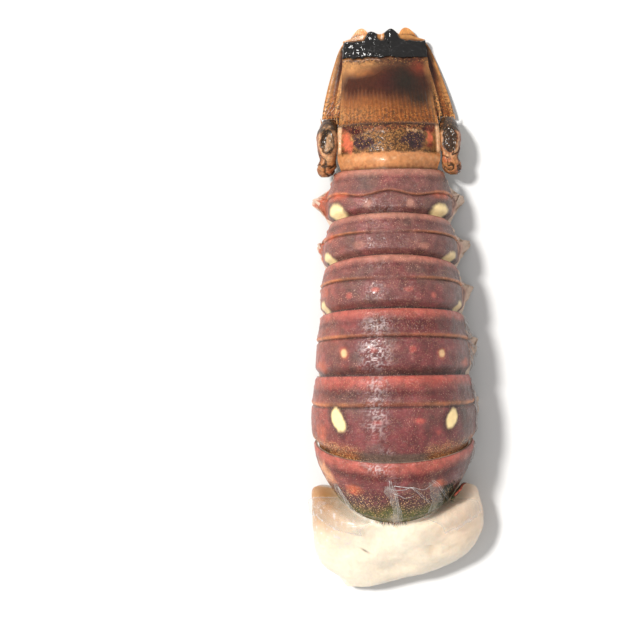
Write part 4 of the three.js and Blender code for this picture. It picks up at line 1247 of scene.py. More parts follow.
def meat_form():
    """The peeled meat: a torn soft lobe in front, and the muscle that fills the rings."""
    meat = look("tail_meat")
    loops = meat_loops()
    x, y, z = np.moveaxis(loops, -1, 0)

    # Soft folds all over, a torn flap and ragged brink at the right, a frill along the floor
    bare = ease(-58.0, -62.0, y) * ease(1.0, 3.0, z)
    folds = 0.5 * rough(loops * (1.0, 0.55, 1.0), 9.0, 3) + 0.2 * rough(loops, 2.6, 9)
    crease = hump(rough(loops * (0.6, 1.0, 1.0), 12.0, 23) / 0.12)
    right_edge = between(LOBE, station_at(LOBE, np.clip(y, -92.0, -60.0)))[..., 2]
    inward = right_edge - x + 0.8 * rough(loops, 4.0, 31)
    right = ease(-84.0, -78.0, y) * ease(0.0, 8.0, x)
    flap = right * (0.35 * hump((inward - 2.2) / 2.0) - 0.2 * hump((inward - 6.0) / 1.8))
    low = 0.8 * ease(6.0, 2.0, z)
    frill = low * (0.9 * rough(loops, 4.2, 41) + 0.35 * noise(loops, 1.6, 42))
    jagged = right * hump(inward / 4.0) * 1.2 * rough(loops * (0.3, 1.0, 0.35), 3.4, 61)
    out = loops - np.array(LOBE_MIDDLE)
    out = out / np.maximum(np.linalg.norm(out, axis=-1, keepdims=True), 1e-6)
    loops = loops + out * ((folds + flap + frill + jagged - 0.06 * crease) * bare)[..., None]
    loops[..., 2] = np.maximum(loops[..., 2], 0.0)

    # Cream, thin and pinkish at the right, dried amber skin with white flecks at the left
    tone = rgb(meat.cream) * (1.0 + 0.04 * rough(loops, 8.0, 5)[..., None])
    tone = blend(tone, rgb(meat.pink), ease(2.0, 24.0, x) * ease(-88.0, -66.0, y) * 0.75)
    # Painted shade: tan in the groove inside the right flap and in the creases
    fold_shade = right * hump((inward - 5.4) / 1.2) + 0.2 * crease
    tone = blend(tone, rgb(meat.tan), fold_shade * 0.35)
    skin = ease(-8.0, -25.0, x + 4.0 * rough(loops, 5.0, 2)) * ease(-81.0, -62.0, y)
    tone = blend(tone, rgb(meat.amber), skin)
    fleck = ease(0.45, 0.6, noise(loops, 0.9, 52)) * ease(-12.0, -20.0, x)
    fleck = fleck * ease(-60.0, -66.0, y) * ease(-82.0, -76.0, y)
    tone = blend(tone, rgb(meat.web), fleck * 0.9)
    nick = hump(np.hypot((x + 10.4) / 1.5, (y + 78.4 + 0.5 * x + 5.2) / 0.35))
    tone = blend(tone, rgb(meat.hair), nick * 0.8)
    form = Form()
    form.loft(loops, tone)
    return form


def film_form(word):
    """A torn film from the flange down onto the meat."""
    meat = look("tail_meat")
    rows, columns = STEPS["film"]
    degrees = np.linspace(*FILMS[word], columns)
    column = column_at(degrees)
    knots = np.stack((
        ring_point(0, 0.05, column, -FILM_LIFT),
        ring_point(0, 0.0, column, -FILM_LIFT),
        lobe_point(LOBE[1], degrees / 180.0, FILM_LIFT + 1.5),
        lobe_point(LOBE[2], degrees / 180.0, FILM_LIFT + 0.75),
    ))
    t = np.linspace(0.0, len(knots) - 1.0, rows)
    outer = between(knots.reshape(len(knots), -1), t).reshape(rows, -1, 3)
    ragged = 1.2 * rough(outer, 3.0, 17)
    torn = np.linspace(0.0, 1.0, TORN_ROWS)[:, None]
    outer[-TORN_ROWS:, :, 1] += ragged[-TORN_ROWS:] * torn
    inner = outer - (0.0, 0.0, FILM_THICKNESS)
    edge = np.zeros(outer.shape[:2])
    edge[-3:] = 1.0
    edge[:, :2] = 1.0
    edge[:, -2:] = 1.0
    streak = ease(0.25, 0.6, noise(outer * (1.0, 0.25, 1.0), 2.0, 5))
    edge = np.clip(0.5 * edge + 0.4 * streak, 0.0, 1.0)
    tone = blend(rgb(meat.film) + 0 * outer, rgb(meat.web), edge)
    form = Form()
    form.slab(outer, inner, tone, tone, edge, edge)
    return form


def add_strand(form, path, radius, tone, sides, blunt=0.08):
    """Adds one tapering strand along a path."""
    angle = circle(sides)
    along = np.gradient(path, axis=0)
    along = along / np.linalg.norm(along, axis=1, keepdims=True)
    side = np.cross(along, (0.31, 0.17, 0.93))
    side = side / np.linalg.norm(side, axis=1, keepdims=True)
    over = np.cross(along, side)
    taper = np.linspace(1.0, blunt, len(path))[:, None, None] * radius
    ring = np.cos(angle)[..., None] * side[:, None] + np.sin(angle)[..., None] * over[:, None]
    form.loft(path[:, None] + ring * taper, tone)


# Threads over the flange: (place along the front ring, column) of their points
THREADS = (
    ((0.78, -0.03), (0.66, -0.02), (0.57, 0.0), (0.44, 0.012), (0.31, 0.02), (0.16, 0.02),
     (0.02, 0.025)),
    ((0.7, 0.0), (0.66, 0.1), (0.6, 0.14), (0.53, 0.17), (0.43, 0.22), (0.34, 0.26)),
    ((0.72, 0.25), (0.64, 0.29), (0.52, 0.335), (0.4, 0.38), (0.28, 0.44), (0.19, 0.48)),
    ((0.52, -0.43), (0.4, -0.425), (0.3, -0.42), (0.2, -0.41), (0.1, -0.37), (0.02, -0.32)),
    ((0.66, -0.03), (0.63, 0.05), (0.66, 0.12), (0.6, 0.19), (0.66, 0.26)),
    ((0.58, 0.0), (0.5, 0.08), (0.53, 0.13)),
)
# The first threads have a thinner one beside them
TWINNED_THREADS = 4


def thread_path(points, lift, seed, count=22):
    """A smooth wandering path over the front ring."""
    knots = between(np.array(points), np.linspace(0.0, len(points) - 1.0, count))
    path = ring_point(0, knots[:, 0], knots[:, 1], -lift)
    wander = 0.25 * np.stack([noise(path, 1.5, seed + k) for k in range(3)], axis=-1)
    wander[..., 2] = np.abs(wander[..., 2])
    return path + wander


def threads_form():
    """White threads of torn skin over the flange."""
    meat = look("tail_meat")
    form = Form()
    for k, points in enumerate(THREADS):
        path = thread_path(points, 0.22, 70 + k)
        add_strand(form, path, THREAD_RADIUS, rgb(meat.web), 5, 0.5)
        if k < TWINNED_THREADS:
            shifted = [(v, column + 0.012) for v, column in points]
            path = thread_path(shifted, 0.32, 79 + k)
            add_strand(form, path, TWIN_RADIUS, rgb(meat.web), 5, 0.5)
    return form


# Torn strips of skin over the flange: (place along the ring, column, half width) of their points
STRIPS = {
    "middle": ((0.7, -0.03, 0.03), (0.6, -0.02, 0.04), (0.48, 0.0, 0.03), (0.32, 0.015, 0.03),
               (0.16, 0.025, 0.036), (0.0, 0.025, 0.045)),
    "left": ((0.56, -0.44, 0.02), (0.4, -0.43, 0.045), (0.26, -0.42, 0.055), (0.12, -0.385, 0.06),
             (0.0, -0.32, 0.06)),
    "right": ((0.7, 0.24, 0.012), (0.58, 0.27, 0.03), (0.46, 0.3, 0.04), (0.34, 0.33, 0.05),
              (0.2, 0.35, 0.07), (0.05, 0.34, 0.08)),
}


def strip_form(word):
    """A thin torn strip of skin that clings to the flange."""
    meat = look("tail_meat")
    rows, columns = STEPS["strip"]
    knots = np.array(STRIPS[word])
    v, middle, half = between(knots, np.linspace(0.0, len(knots) - 1.0, rows)).T[..., None]
    across = np.linspace(-1.0, 1.0, columns)[None, :]
    column = middle + half * across
    flat = ring_point(0, v, column, -0.2)
    column = column + 0.012 * rough(flat, 1.6, 31)
    outer = ring_point(0, v, column, -0.42 - 0.14 * rough(flat, 1.3, 7))
    inner = ring_point(0, v, column, -0.26)
    edge = ease(0.8, 1.0, np.abs(across) + 0 * v)
    streak = ease(0.1, 0.6, rough(flat * (1.0, 0.25, 1.0), 1.8, 15))
    veil = np.clip(0.35 * edge + 0.3 * streak, 0.0, 1.0)
    tone = blend(rgb(meat.film) + 0 * outer, rgb(meat.web), veil)
    form = Form()
    form.slab(outer, inner, tone, tone, veil, veil)
    return form


def front_hairs():
    """Brown hairs under the middle of the flange, and short dark ones on the patch by the tab."""
    meat = look("tail_meat")
    form = Form()
    t = np.linspace(0.0, 1.0, 6)[:, None]
    for k in range(HAIRS):
        column = -0.19 + 0.0065 * k + 0.01 * math.sin(5.0 * k)
        root = ring_point(0, 0.02, column, 0.5)
        swing = math.sin(12.9 * k)
        length = 1.6 + 0.9 * math.sin(3.7 * k) ** 2
        path = root + t * (0.5 * swing, -length, -0.9) + t * t * (0.3 * swing, 0.0, -0.5)
        add_strand(form, path, HAIR_RADIUS, rgb(meat.hair), 3)
    t = np.linspace(0.0, 1.0, 5)[:, None]
    for k in range(SHORT_HAIRS):
        v = 0.4 + 0.18 * math.sin(2.3 * k)
        column = 0.41 + 0.05 * math.sin(3.7 * k + 1.0)
        root = ring_point(0, v, column, 0.1)
        path = root + t * (0.4 + 0.5 * math.sin(7.1 * k), -1.1 - 0.4 * math.sin(5.3 * k), 0.25)
        add_strand(form, path, SHORT_HAIR_RADIUS, rgb(meat.tab), 3)
    return form


def side_fringe():
    """Pale limp hairs that lie along the right side of the first three rings."""
    meat = look("tail_meat")
    form = Form()
    t = np.linspace(0.0, 1.0, 9)
    for k in range(FRINGE_HAIRS):
        index = (0, 1, 1, 2)[k % 4]
        start = 0.3 + 0.65 * (0.5 + 0.5 * math.sin(7.3 * k))
        column = 0.7 + 0.2 * (0.5 + 0.5 * math.sin(3.1 * k + 1.0))
        run = 0.2 + 0.14 * math.sin(5.9 * k)
        v = start - run * t
        path = ring_point(index, np.maximum(v, 0.06), column + 0.09 * t, 0.0)
        lift = 0.2 + 1.3 * t * (0.5 + 0.5 * math.sin(11.0 * k))
        path[:, 0] += lift
        path[:, 2] = np.maximum(path[:, 2] - 0.4 * lift, 0.4)
        add_strand(form, path, FRINGE_RADIUS, rgb(meat.web), 3, 0.4)
    return form


def tab_form():
    """The loose dark tab of shell on the right, with an orange top."""
    meat = look("tail_meat")
    shell = look("tail_shell")
    v, across = np.meshgrid(
        *(np.linspace(-1.0, 1.0, count) for count in STEPS["tab"]), indexing="ij")
    width = across * (1.0 - 0.55 * v * v)
    place_v = lerp(0.1, 0.36, (v + 1) / 2)
    degrees = lerp(14.0, 35.0, (width + 1) / 2)
    curl = 1.1 * (v * v + across * across) / 2
    column = column_at(degrees)
    outer = ring_point(0, place_v, column, -1.3 - curl)
    outer[..., 2] += 0.25 * rough(outer, 1.2, 3)
    inner = ring_point(0, place_v, column, -0.4 - curl)
    tone = blend(rgb(meat.tab) + 0 * outer, rgb(shell.rim), ease(0.5, 0.9, v + 0.3 * across))
    form = Form()
    form.slab(outer, inner, tone, rgb(meat.tab), 0.6)
    return form


def skin_form():
    """The thin skin between the bars, with cross wrinkles."""
    belly = look("tail_belly")
    rows, columns = STEPS["skin"]
    y = np.linspace(SKIN_FRONT, SKIN_REAR, rows)[:, None]
    half = between(LINES, station_at(LINES, y))[..., 2] - SKIN_SIDE_GAP
    across = np.linspace(-1.0, 1.0, columns)[None, :]
    top = stack(across * half, y, SKIN_LEVEL)
    low = stack(across * half, y, SKIN_LEVEL - SKIN_THICKNESS)
    wrinkle = 0.28 * rough(low * (0.3, 1.0, 1.0), 2.4, 13)
    low[..., 2] += wrinkle - 0.2
    tone = rgb(belly.skin) * (1.0 + 0.1 * rough(low, 6.0, 4)[..., None])
    tone = blend(tone, rgb(belly.paddle), ease(0.1, 0.6, rough(low, 14.0, 6)) * 0.45)
    fibre = ease(0.12, 0.0, np.abs(noise(low * (0.25, 1.0, 1.0), 1.6, 16)))
    tone = blend(tone, rgb(belly.bar), fibre * ease(-0.2, 0.3, rough(low, 9.0, 26)) * 0.7)
    form = Form()
    form.slab(top, low, tone, tone)
    return form


# The tail fan
def fan_height(x, y):
    """The height of the fan's arched top."""
    station = between(FAN, station_at(FAN, np.minimum(y, FAN_END)))
    share = np.abs(x) / station[..., 1]
    beyond = np.maximum(share - 1.0, 0.0)
    bend = np.minimum(share, 1.0) ** FAN_CURVE + beyond * FAN_SIDE_SLOPE
    return station[..., 2] - station[..., 3] * bend


def fan_turn(y):
    """How far the fan has turned aside."""
    return -FAN_TURN * np.maximum(y - FAN_HINGE, 0.0)


# Blotches of the fan: place across from -1 to 1, y, half sizes across and along, colour, strength.
# Those on the hard part have torn outlines
FAN_PATCHES = (
    (-0.8, 65.0, 0.24, 1.3, "rust", 0.9),
    (0.78, 65.0, 0.24, 1.3, "rust", 0.9),
    (-0.7, 64.4, 0.2, 1.5, "wine", 1.0),
    (0.68, 64.4, 0.18, 1.6, "wine", 1.0),
    (-0.82, 60.6, 0.12, 3.0, "orange", 1.5),
    (0.82, 61.2, 0.11, 2.8, "orange", 1.3),
    (-0.7, 62.0, 0.05, 1.6, "tip", 1.0),
    (-0.9, 57.8, 0.14, 1.2, "rust", 0.7),
    (0.84, 58.2, 0.18, 1.5, "rust", 0.9),
    (-0.52, 60.4, 0.16, 3.0, "purple", 1.2),
    (0.48, 60.6, 0.17, 3.2, "purple", 1.4),
    (-0.5, 64.2, 0.1, 0.8, "cream", 0.7),
    (0.48, 64.2, 0.1, 0.8, "cream", 0.7),
    (-0.62, 70.6, 0.4, 2.8, "tip", 0.3),
    (-0.32, 74.6, 0.2, 1.6, "amber", 0.7),
    (0.1, 82.0, 0.24, 3.6, "wine", 0.8),
    (0.42, 82.0, 0.38, 6.8, "dark_and_shade", 1.0),
    (0.72, 75.6, 0.24, 3.2, "dark_and_shade", 0.9),
    (-0.6, 85.2, 0.34, 1.4, "amber", 0.7),
    (-0.8, 87.2, 0.26, 2.4, "tip", 0.95),
    (-0.4, 88.4, 0.26, 1.6, "tip", 0.6),
    (0.76, 87.0, 0.2, 2.6, "rust", 0.9),
)


def band_height(across, y, points):
    """How far the glossy band's lumps stand up, as a share."""
    a = across + 0.09 * rough(points, 3.6, 61)
    bent = y + 1.1 * rough(points, 3.4, 63)
    strip = ease(-1.06, -0.96, a) * ease(1.08, 0.99, a) * ease(89.8, 91.0, bent)
    knobs = [hump((across - place_a) / wide) for place_a, wide, *_ in KNOBS]
    rear = 97.2 + 2.4 * np.maximum.reduce(knobs)
    strip = strip * ease(rear, rear - 0.9, bent)
    strip = strip * (1.0 - 0.35 * hump((a + 0.25) / 0.03) - 0.35 * hump((a - 0.13) / 0.03))
    lumps = [
        height * hump(np.hypot((a - place_a) / wide, (bent - place_y) / long))
        for place_a, wide, place_y, long, height, _ in KNOBS
    ]
    return np.maximum.reduce([strip, *lumps]) * (0.82 + 0.35 * rough(points, 2.0, 62))


def band_form():
    """The glossy black skin of the band's lumps; where there are none it dips out of sight."""
    fan = look("tail_fan")
    rows, count = STEPS["band"]
    columns = np.linspace(-0.99, 0.99, count)[None, :]
    y = np.linspace(89.0, FAN_REAR - 0.01, rows)[:, None]
    flat, outer = telson_top(columns, y)
    height = band_height(columns + 0.0 * y, y + 0.0 * columns, flat)
    skin = np.clip((height - 0.4) * 1.2, -0.25, 0.14)
    outer = outer + stack(0.0, 0.0, skin + 0.12 * rough(flat, 1.4, 81) * (skin > 0))
    inner = np.where(skin[..., None] > 0, outer - (0.0, 0.0, 0.3), outer - (0.0, 0.0, 0.05))
    form = Form()
    form.slab(outer, inner, rgb(fan.black), rgb(fan.black))
    return form


def telson_tone(across, y, points):
    """The colours of the telson's top, and its grain."""
    fan = look("tail_fan")
    side = np.abs(across)
    blotch = rough(points, 5.0, 8)
    fine = rough(points, 1.6, 18)
    a = across + 0.09 * rough(points, 6.0, 9)
    bent = y + 1.2 * rough(points, 5.0, 10)
    tone = rgb(fan.peach) * (1.0 + 0.12 * blotch[..., None])
    tone = blend(tone, rgb(fan.rust), ease(53.2, 51.6, bent) * ease(-0.1, 0.5, fine) * 0.7)
    # Painted highlight: cream along the crest of the bulge
    bulge_highlight = hump((y - 54.4 - blotch) / 1.1) * ease(-0.3, 0.6, fine)
    tone = blend(tone, rgb(fan.cream), bulge_highlight * 0.6)
    # Painted shade where the telson's front goes under the last ring
    tone = blend(tone, rgb(fan.dark_and_shade), ease(52.0, 50.8, y + 0.6 * fine) * 0.7)
    hard = ease(56.0, 57.4, y + 1.1 * fine)
    tone = blend(tone, rgb(fan.gold), hard)
    tone = blend(tone, rgb(fan.rust), ease(63.4, 65.6, bent) * 0.6)
    flexible = ease(66.2, 67.2, y)
    streaked = bent + 0.9 * np.cos(across * FAN_RIDGES)
    streaked = streaked + 1.2 * rough(points * (1.0, 0.1, 1.0), 1.6, 88)
    soft = blend(rgb(fan.amber) + 0 * points, rgb(fan.brown), ease(71.5, 80.0, streaked))
    soft = blend(soft, rgb(fan.umber), ease(84.0, 89.0, bent))
    tone = blend(tone, soft, flexible)
    wild_a = rough(points, 2.6, 77)
    wild_y = rough(points, 2.6, 78)
    for place_a, place_y, wide, long, name, strength in FAN_PATCHES:
        if place_y < FAN_HARD_END:
            near = (a - place_a + 0.2 * wild_a) / wide + 0.2 * (y - place_y) / long
            mask = hump(np.hypot(near, (bent - place_y + 2.2 * wild_y) / long)) * strength
            mask = 1.8 * mask - 0.45
        else:
            mask = hump(np.hypot((a - place_a) / wide, (bent - place_y) / long)) * strength
        tone = blend(tone, rgb(getattr(fan, name)), mask)
    # Painted light and shade: lighter on the ridge crests and darker between them
    ridge = np.cos(across * FAN_RIDGES) * flexible * ease(82.0, 71.0, y) * (0.5 + 0.5 * fine)
    tone = tone * (1.0 + 0.3 * ridge[..., None])
    edge = ease(0.9, 0.94, side) * ease(56.0, 58.0, y)
    tone = blend(tone, rgb(fan.cream), edge * (1.0 - flexible))
    outer = ease(0.84, 1.0, side + 0.08 * blotch) * flexible
    outer = outer * lerp(0.7, 0.12, hump((y - 80.0) / 7.0))
    tone = blend(tone, rgb(fan.tip), outer)
    fold = hump((y - 56.9 - 0.7 * fine) / 0.3)
    tone = blend(tone, rgb(fan.dark_and_shade), fold * ease(-0.4, 0.1, fine) * 0.6)
    joint = hump((y - 66.5 - 0.3 * fine) / 0.7)
    tone = blend(tone, rgb(fan.dark_and_shade), joint * 0.75)
    tone = blend(tone, rgb(fan.tip), ease(96.6, 97.8, y) * 0.9)
    band = ease(0.25, 0.45, band_height(across, y, points))
    tone = blend(tone, rgb(fan.black), band)
    orange = hump((side - 0.85) / 0.2) * hump((y - 61.0) / 4.5)
    grain = 0.85 * hard * (1.0 - flexible) * (1.0 - orange) * ease(0.95, 0.9, side)
    grain = grain + flexible * (0.55 * ease(76.0, 70.0, y) + 0.7 * hump((y - 89.5) / 1.6))
    return tone, np.clip(grain * (1.0 - band), 0.0, 1.0)


def telson_reach(columns):
    """How far the telson's rear edge stands out, with its two knobs."""
    knobs = sum(reach * hump((columns - place_a) / wide) for place_a, wide, *_, reach in KNOBS)
    return knobs + 0.3 * np.cos(columns * 11.0) - 1.4 * columns ** 6


def telson_top(columns, y):
    """The telson's top, flat and with its relief, for rows y and places across."""
    half = between(FAN, station_at(FAN, np.minimum(y, FAN_END)))[..., 1]
    x = columns * (half + 0.5 * ease(51.0, 55.0, y) * ease(70.0, 66.0, y))
    top = fan_height(x, y) - FAN_STEP * ease(66.4, 67.6, y)
    reach = telson_reach(columns) * ease(96.8, 98.0, y)
    flat = stack(x + fan_turn(y), y + reach, top)
    band = BAND_RISE * band_height(columns + 0.0 * y, y + 0.0 * columns, flat)
    ridges = 0.09 * np.cos(columns * FAN_RIDGES) * ease(67.4, 69.0, y) * ease(84.0, 74.0, y)
    waves = 0.3 * rough(flat * (1.0, 0.4, 1.0), 5.0, 12) * ease(70.0, 76.0, y)
    waves = waves * ease(92.0, 88.0, y)
    hard = 0.3 * rough(flat, 1.8, 14) * ease(54.5, 57.0, y) * ease(67.0, 65.5, y)
    bulge = 0.5 * hump((y - 54.6) / 2.2) - 0.35 * hump((y - 57.0) / 0.8)
    rim = 0.45 * ease(0.93, 0.97, np.abs(columns)) * ease(56.0, 58.0, y) * ease(68.0, 66.0, y)
    tuck = 0.32 * ease(50.2, 49.6, y)
    rise = band + ridges + waves + hard + bulge * ease(50.5, 52.5, y) + rim - tuck
    return flat, flat + stack(0.0, 0.0, rise)


def telson_form():
    """The telson: a hard arched base, the ridged fan and the glossy lumpy band."""
    columns = np.linspace(-1.0, 1.0, TELSON_COLUMNS)[None, :]
    y = np.concatenate((
        np.linspace(FAN_FRONT, 66.2, 80), np.linspace(66.4, 67.6, 8),
        np.linspace(67.9, 90.0, 80), np.linspace(90.2, FAN_REAR, 64),
    ))[:, None]
    flat, outer = telson_top(columns, y)
    tone, grain = telson_tone(columns + 0.0 * y, y + 0.0 * columns, flat)
    inner, under = telson_underside(columns)
    form = Form()
    form.slab(outer, inner, tone, under, grain)
    return form


def telson_underside(columns):
    """The telson's hollow lower face and its colours, from warm to cream at the tip."""
    fan = look("tail_fan")
    fronts = (FAN_FRONT, 54, 60, 64, 66, 69)
    y = np.concatenate((fronts, np.linspace(70.0, FAN_REAR, 40)))[:, None]
    x = columns * between(FAN, station_at(FAN, np.minimum(y, FAN_END)))[..., 1]
    top = fan_height(x, y) - FAN_STEP * (y > FAN_HINGE)
    solid = 1.0 - ease(60.0, 68.0, y)
    base = 9.0 * (1.0 - 0.85 * columns ** 2)
    lowest = np.where(y < 56.0, 11.0, 0.2)
    z = np.maximum(top - lerp(FAN_PLATE, base, solid), lowest)
    z = np.minimum(z, top - FAN_PLATE)
    inner = stack(x + fan_turn(y), y + telson_reach(columns) * (y > 97.5), z)
    blotch = rough(inner, 6.0, 48)
    warm = lerp(rgb(fan.orange), rgb(fan.amber), 0.55)
    tone = blend(warm + 0 * inner, rgb(fan.amber), ease(72.0, 84.0, y + 3 * blotch))
    tone = blend(tone, rgb(fan.peach), ease(66.0, 60.0, y + 0 * z))
    tone = blend(tone, rgb(fan.dark_and_shade), ease(86.0, 92.0, y + 2 * blotch) * 0.8)
    bar = ease(90.2, 91.0, y + blotch) * ease(97.0, 96.2, y + blotch)
    tone = blend(tone, rgb(fan.black), bar)
    tone = blend(tone, rgb(fan.cream), ease(96.6, 97.6, y + blotch))
    return inner, tone


def plate_form(kind, side):
    """A leaf-shaped side plate of the fan."""
    fan = look("tail_fan")
    plate = PLATES[kind]
    rows, columns = STEPS["plate"]
    v = np.sin(np.linspace(0.0, 1.0, rows) * np.pi / 2)[:, None]
    column = np.linspace(0.0, 1.0, columns)[None, :]
    y = lerp(plate["front"], plate["rear"], v)
    to_end = np.clip((v - plate["round"]) / (1.0 - plate["round"]), 0.0, 1.0)
    rounding = np.maximum(np.sqrt(1.0 - to_end ** 2.4), 0.1)
    outer_x = lerp(plate["outer"], plate["outer_tip"], v ** 1.3)
    full_inner = lerp(plate["inner"], plate["inner_tip"], v)
    inner_x = lerp(plate["outer"] - plate["root"], full_inner, ease(0.0, 0.22, v))
    half = (outer_x - inner_x) / 2 * rounding
    x = (outer_x + inner_x) / 2 + half * (2.0 * column - 1.0)
    z = np.maximum(fan_height(x, y) - FAN_STEP - plate["depth"], SIDE_PLATE)
    flat = stack(side * x + fan_turn(y), y, z)
    ribs = 0.05 * np.cos(column * PLATE_RIBS) * ease(0.0, 0.1, v) * ease(1.0, 0.8, v)
    outer = flat + stack(0.0, 0.0, ribs - 0.1)
    inner = flat - (0.0, 0.0, SIDE_PLATE)
    edge = np.minimum(column, 1.0 - column) + 0.06 * rough(flat, 3.0, 44)
    tone = blend(rgb(fan.amber) + 0 * flat, rgb(fan.brown), ease(0.15, 0.6, v + 0 * column))
    tone = blend(tone, rgb(fan.tip), ease(0.26, 0.05, edge) * lerp(0.9, 0.6, v + 0 * column))
    tone = blend(tone, rgb(fan.black), hump((v - 0.88) / 0.05) * ease(0.05, 0.2, edge))
    tone = blend(tone, rgb(fan.tip) * 1.3, ease(0.9, 0.95, v + 0 * column))
    # Painted light and shade: lighter on the rib crests and darker between them
    tone = tone * (1.0 + 0.12 * np.cos(column * PLATE_RIBS + 0 * v)[..., None])
    form = Form()
    form.slab(outer, inner, tone, tone, 0.75 * ease(0.45, 0.15, v + 0 * column))
    return form


def base_form(side):
    """The bean-shaped base of a side plate: a dark hollow with a cream rim, lumpy in front."""
    fan = look("tail_fan")
    belly = look("tail_belly")
    rows, sides = STEPS["base"]
    t = np.linspace(0.0, len(BASE_SECTIONS) - 1.0, rows)
    y, x, z, wide, tall = (field[:, None] for field in between(BASE_SECTIONS, t).T)
    angle = circle(sides)
    out = np.cos(angle)
    up = np.sin(angle)

    def loops_at(swell):
        away = x - BASE_INSET + (wide + BASE_INSET) * swell * out
        return stack(side * away, y, z + tall * swell * up)

    flat = loops_at(1.0)
    fine = rough(flat, 1.7, 3)
    inner_side = ease(0.2, 0.8, up)
    hollow = hump((out + 0.1 + 0.3 * fine) / 0.82) * hump((y - 61.2 - fine) / 5.0) * inner_side
    creases = ease(0.16, 0.0, np.abs(rough(flat, 3.4, 19))) * ease(59.5, 57.0, y)
    loops = loops_at(1.0 + 0.07 * fine - 0.24 * ease(0.35, 0.8, hollow) - 0.14 * creases)

    # Peach with a dark hollow in a cream rim, and painted shade in the creases
    tone = rgb(fan.peach) * (0.86 + 0.3 * fine[..., None])
    tone = blend(tone, rgb(fan.orange), ease(-0.1, 0.5, rough(flat, 3.4, 6)) * 0.5)
    tone = blend(tone, rgb(fan.rust), ease(0.5, 1.0, out + 0.4 * fine) * 0.55)
    tone = blend(tone, rgb(fan.cream), hump((hollow - 0.27) / 0.1) * 0.9)
    tone = blend(tone, rgb(fan.dark_and_shade), ease(0.36, 0.5, hollow) * 0.95)
    mark = ease(0.5, 0.7, hollow) * ease(0.02, 0.22, rough(flat * (1.3, 0.7, 1.0), 3.6, 27))
    tone = blend(tone, rgb(fan.cream) * 0.8, mark * 0.8)
    # Painted shade in the creases
    tone = blend(tone, rgb(fan.dark_and_shade), creases * 0.9)
    outline = hump((np.abs(out) - 0.86) / 0.1) * ease(-0.1, 0.3, fine)
    tone = blend(tone, rgb(fan.dark_and_shade), outline * 0.8)
    tip = ease(63.2, 64.8, y + 0.9 * fine) * ease(-0.9, 0.0, fine)
    tone = blend(tone, rgb(fan.dark_and_shade), tip * 0.95)

    # Cream beneath, with a bluish line and olive marks
    beneath = ease(-0.1, -0.5, up + 0.2 * fine)
    tone = blend(tone, rgb(belly.bar), beneath)
    line = hump((out + 0.45) / 0.16) * hump((y - 64.0) / 3.0)
    marks = ease(0.25, 0.45, rough(flat, 1.8, 37)) * ease(60.0, 57.0, y)
    tone = blend(tone, rgb(belly.teal), beneath * line)
    tone = blend(tone, rgb(belly.olive), beneath * marks)
    form = Form()
    form.loft(loops, tone, 0.3 * ease(-0.2, 0.2, up + 0 * y))
    return form


def fan_spines():
    """Small golden spines along the rear ends of the two bases."""
    fan = look("tail_fan")
    form = Form()
    for side in (-1.0, 1.0):
        for k in range(SPINES_A_SIDE):
            x = side * (17.6 + 0.9 * k)
            y = 68.6 + 0.5 * math.sin(2.1 * k + side)
            z = float(fan_height(np.array(x), np.array(y))) - 1.6 - 0.05 * k
            lean = 0.35 * math.sin(1.7 * k)
            root = np.array((x + float(fan_turn(y)), y - 0.6, z - 0.4))
            tip = root + (lean + 0.25 * side, 2.2 + 0.5 * math.cos(3.0 * k), 0.5)
            add_strand(form, np.linspace(root, tip, 6), SPINE_RADIUS, rgb(fan.tip), 6)
    return form


# Swimmerets
def leaf_form(root, tip, half_width, fullness, colours, veins):
    """A flat leaf from root to tip, widest part-way along, with fine ribs."""
    along = tip - root
    across = np.array((-along[1], along[0], 0.0))
    across = across / np.linalg.norm(across)
    rows, columns = STEPS["leaf"]
    v = np.linspace(0.0, 1.0, rows)[:, None]
    side = np.linspace(-1.0, 1.0, columns)[None, :]
    shape = np.sin(np.pi * np.clip(v, 0, 1) ** fullness) ** 0.8
    width = half_width * lerp(0.2, 1.0, np.nan_to_num(shape))
    middle = root + along * v[..., None]
    sheet = middle + across * (side * width)[..., None]
    sheet[..., 2] -= 0.32 * side ** 2
    ribs = 0.07 * np.cos(side * veins + 6.0 * v)
    outer = sheet + stack(0, 0, ribs - 0.07)
    inner = sheet - (0.0, 0.0, LEAF_THICKNESS)
    inner[..., 2] -= ribs
    body, edge, foot = colours
    tone = blend(body + 0 * sheet, edge, ease(0.75, 1.0, np.abs(side) + 0 * v) * 0.6)
    bar = rgb(look("tail_belly").bar)
    tone = blend(tone, bar, hump((v - 0.16 + 0.05 * side) / 0.07) * ease(1.0, 0.5, np.abs(side)))
    tone = blend(tone, foot, ease(0.12, 0.04, v + 0 * side))
    form = Form()
    form.slab(outer, inner, tone, tone)
    return form


def swimmeret_ends(index, word):
    """Root and tip of the blade, and of the paddle, on one side of a ring."""
    side = -1.0 if word == "left" else 1.0
    line = between(LINES, np.array(index + BAR_PLACE))
    slant = math.radians(SLANTS[index])
    toward = np.array((-side * math.cos(slant), math.sin(slant), 0.0))
    hip = np.array((side * (line[2] - HIP_INSET), line[0] - HIP_FORWARD, BLADE_LEVELS[word]))
    to_middle = abs(hip[0]) / math.cos(slant)
    tip = hip + toward * min(BLADE_LENGTH, to_middle + BLADE_PAST_MIDDLE)
    root = np.array((hip[0], hip[1] + PADDLE_BACK, PADDLE_LEVEL))
    reach = min(BLADE_LENGTH, to_middle) - PADDLE_HALF_WIDTH * math.sin(slant) - PADDLE_END_GAP
    return (hip, tip), (root, root + toward * reach)


# Building steps
def build_rings():
    """Shell rings and their bars."""
    finish = shell_finish()
    bars = horn_finish("cream_bar", 0.35, 0.3, 0.2, 0.3)
    for index in range(len(RINGS)):
        node = f"shell_ring_{index + 1}"
        ring_form(index).finish(f"ring_shell_{index + 1}", finish, "shell", [node], 50)
        bar_form(index).finish(f"ring_bar_{index + 1}", bars, "shell")


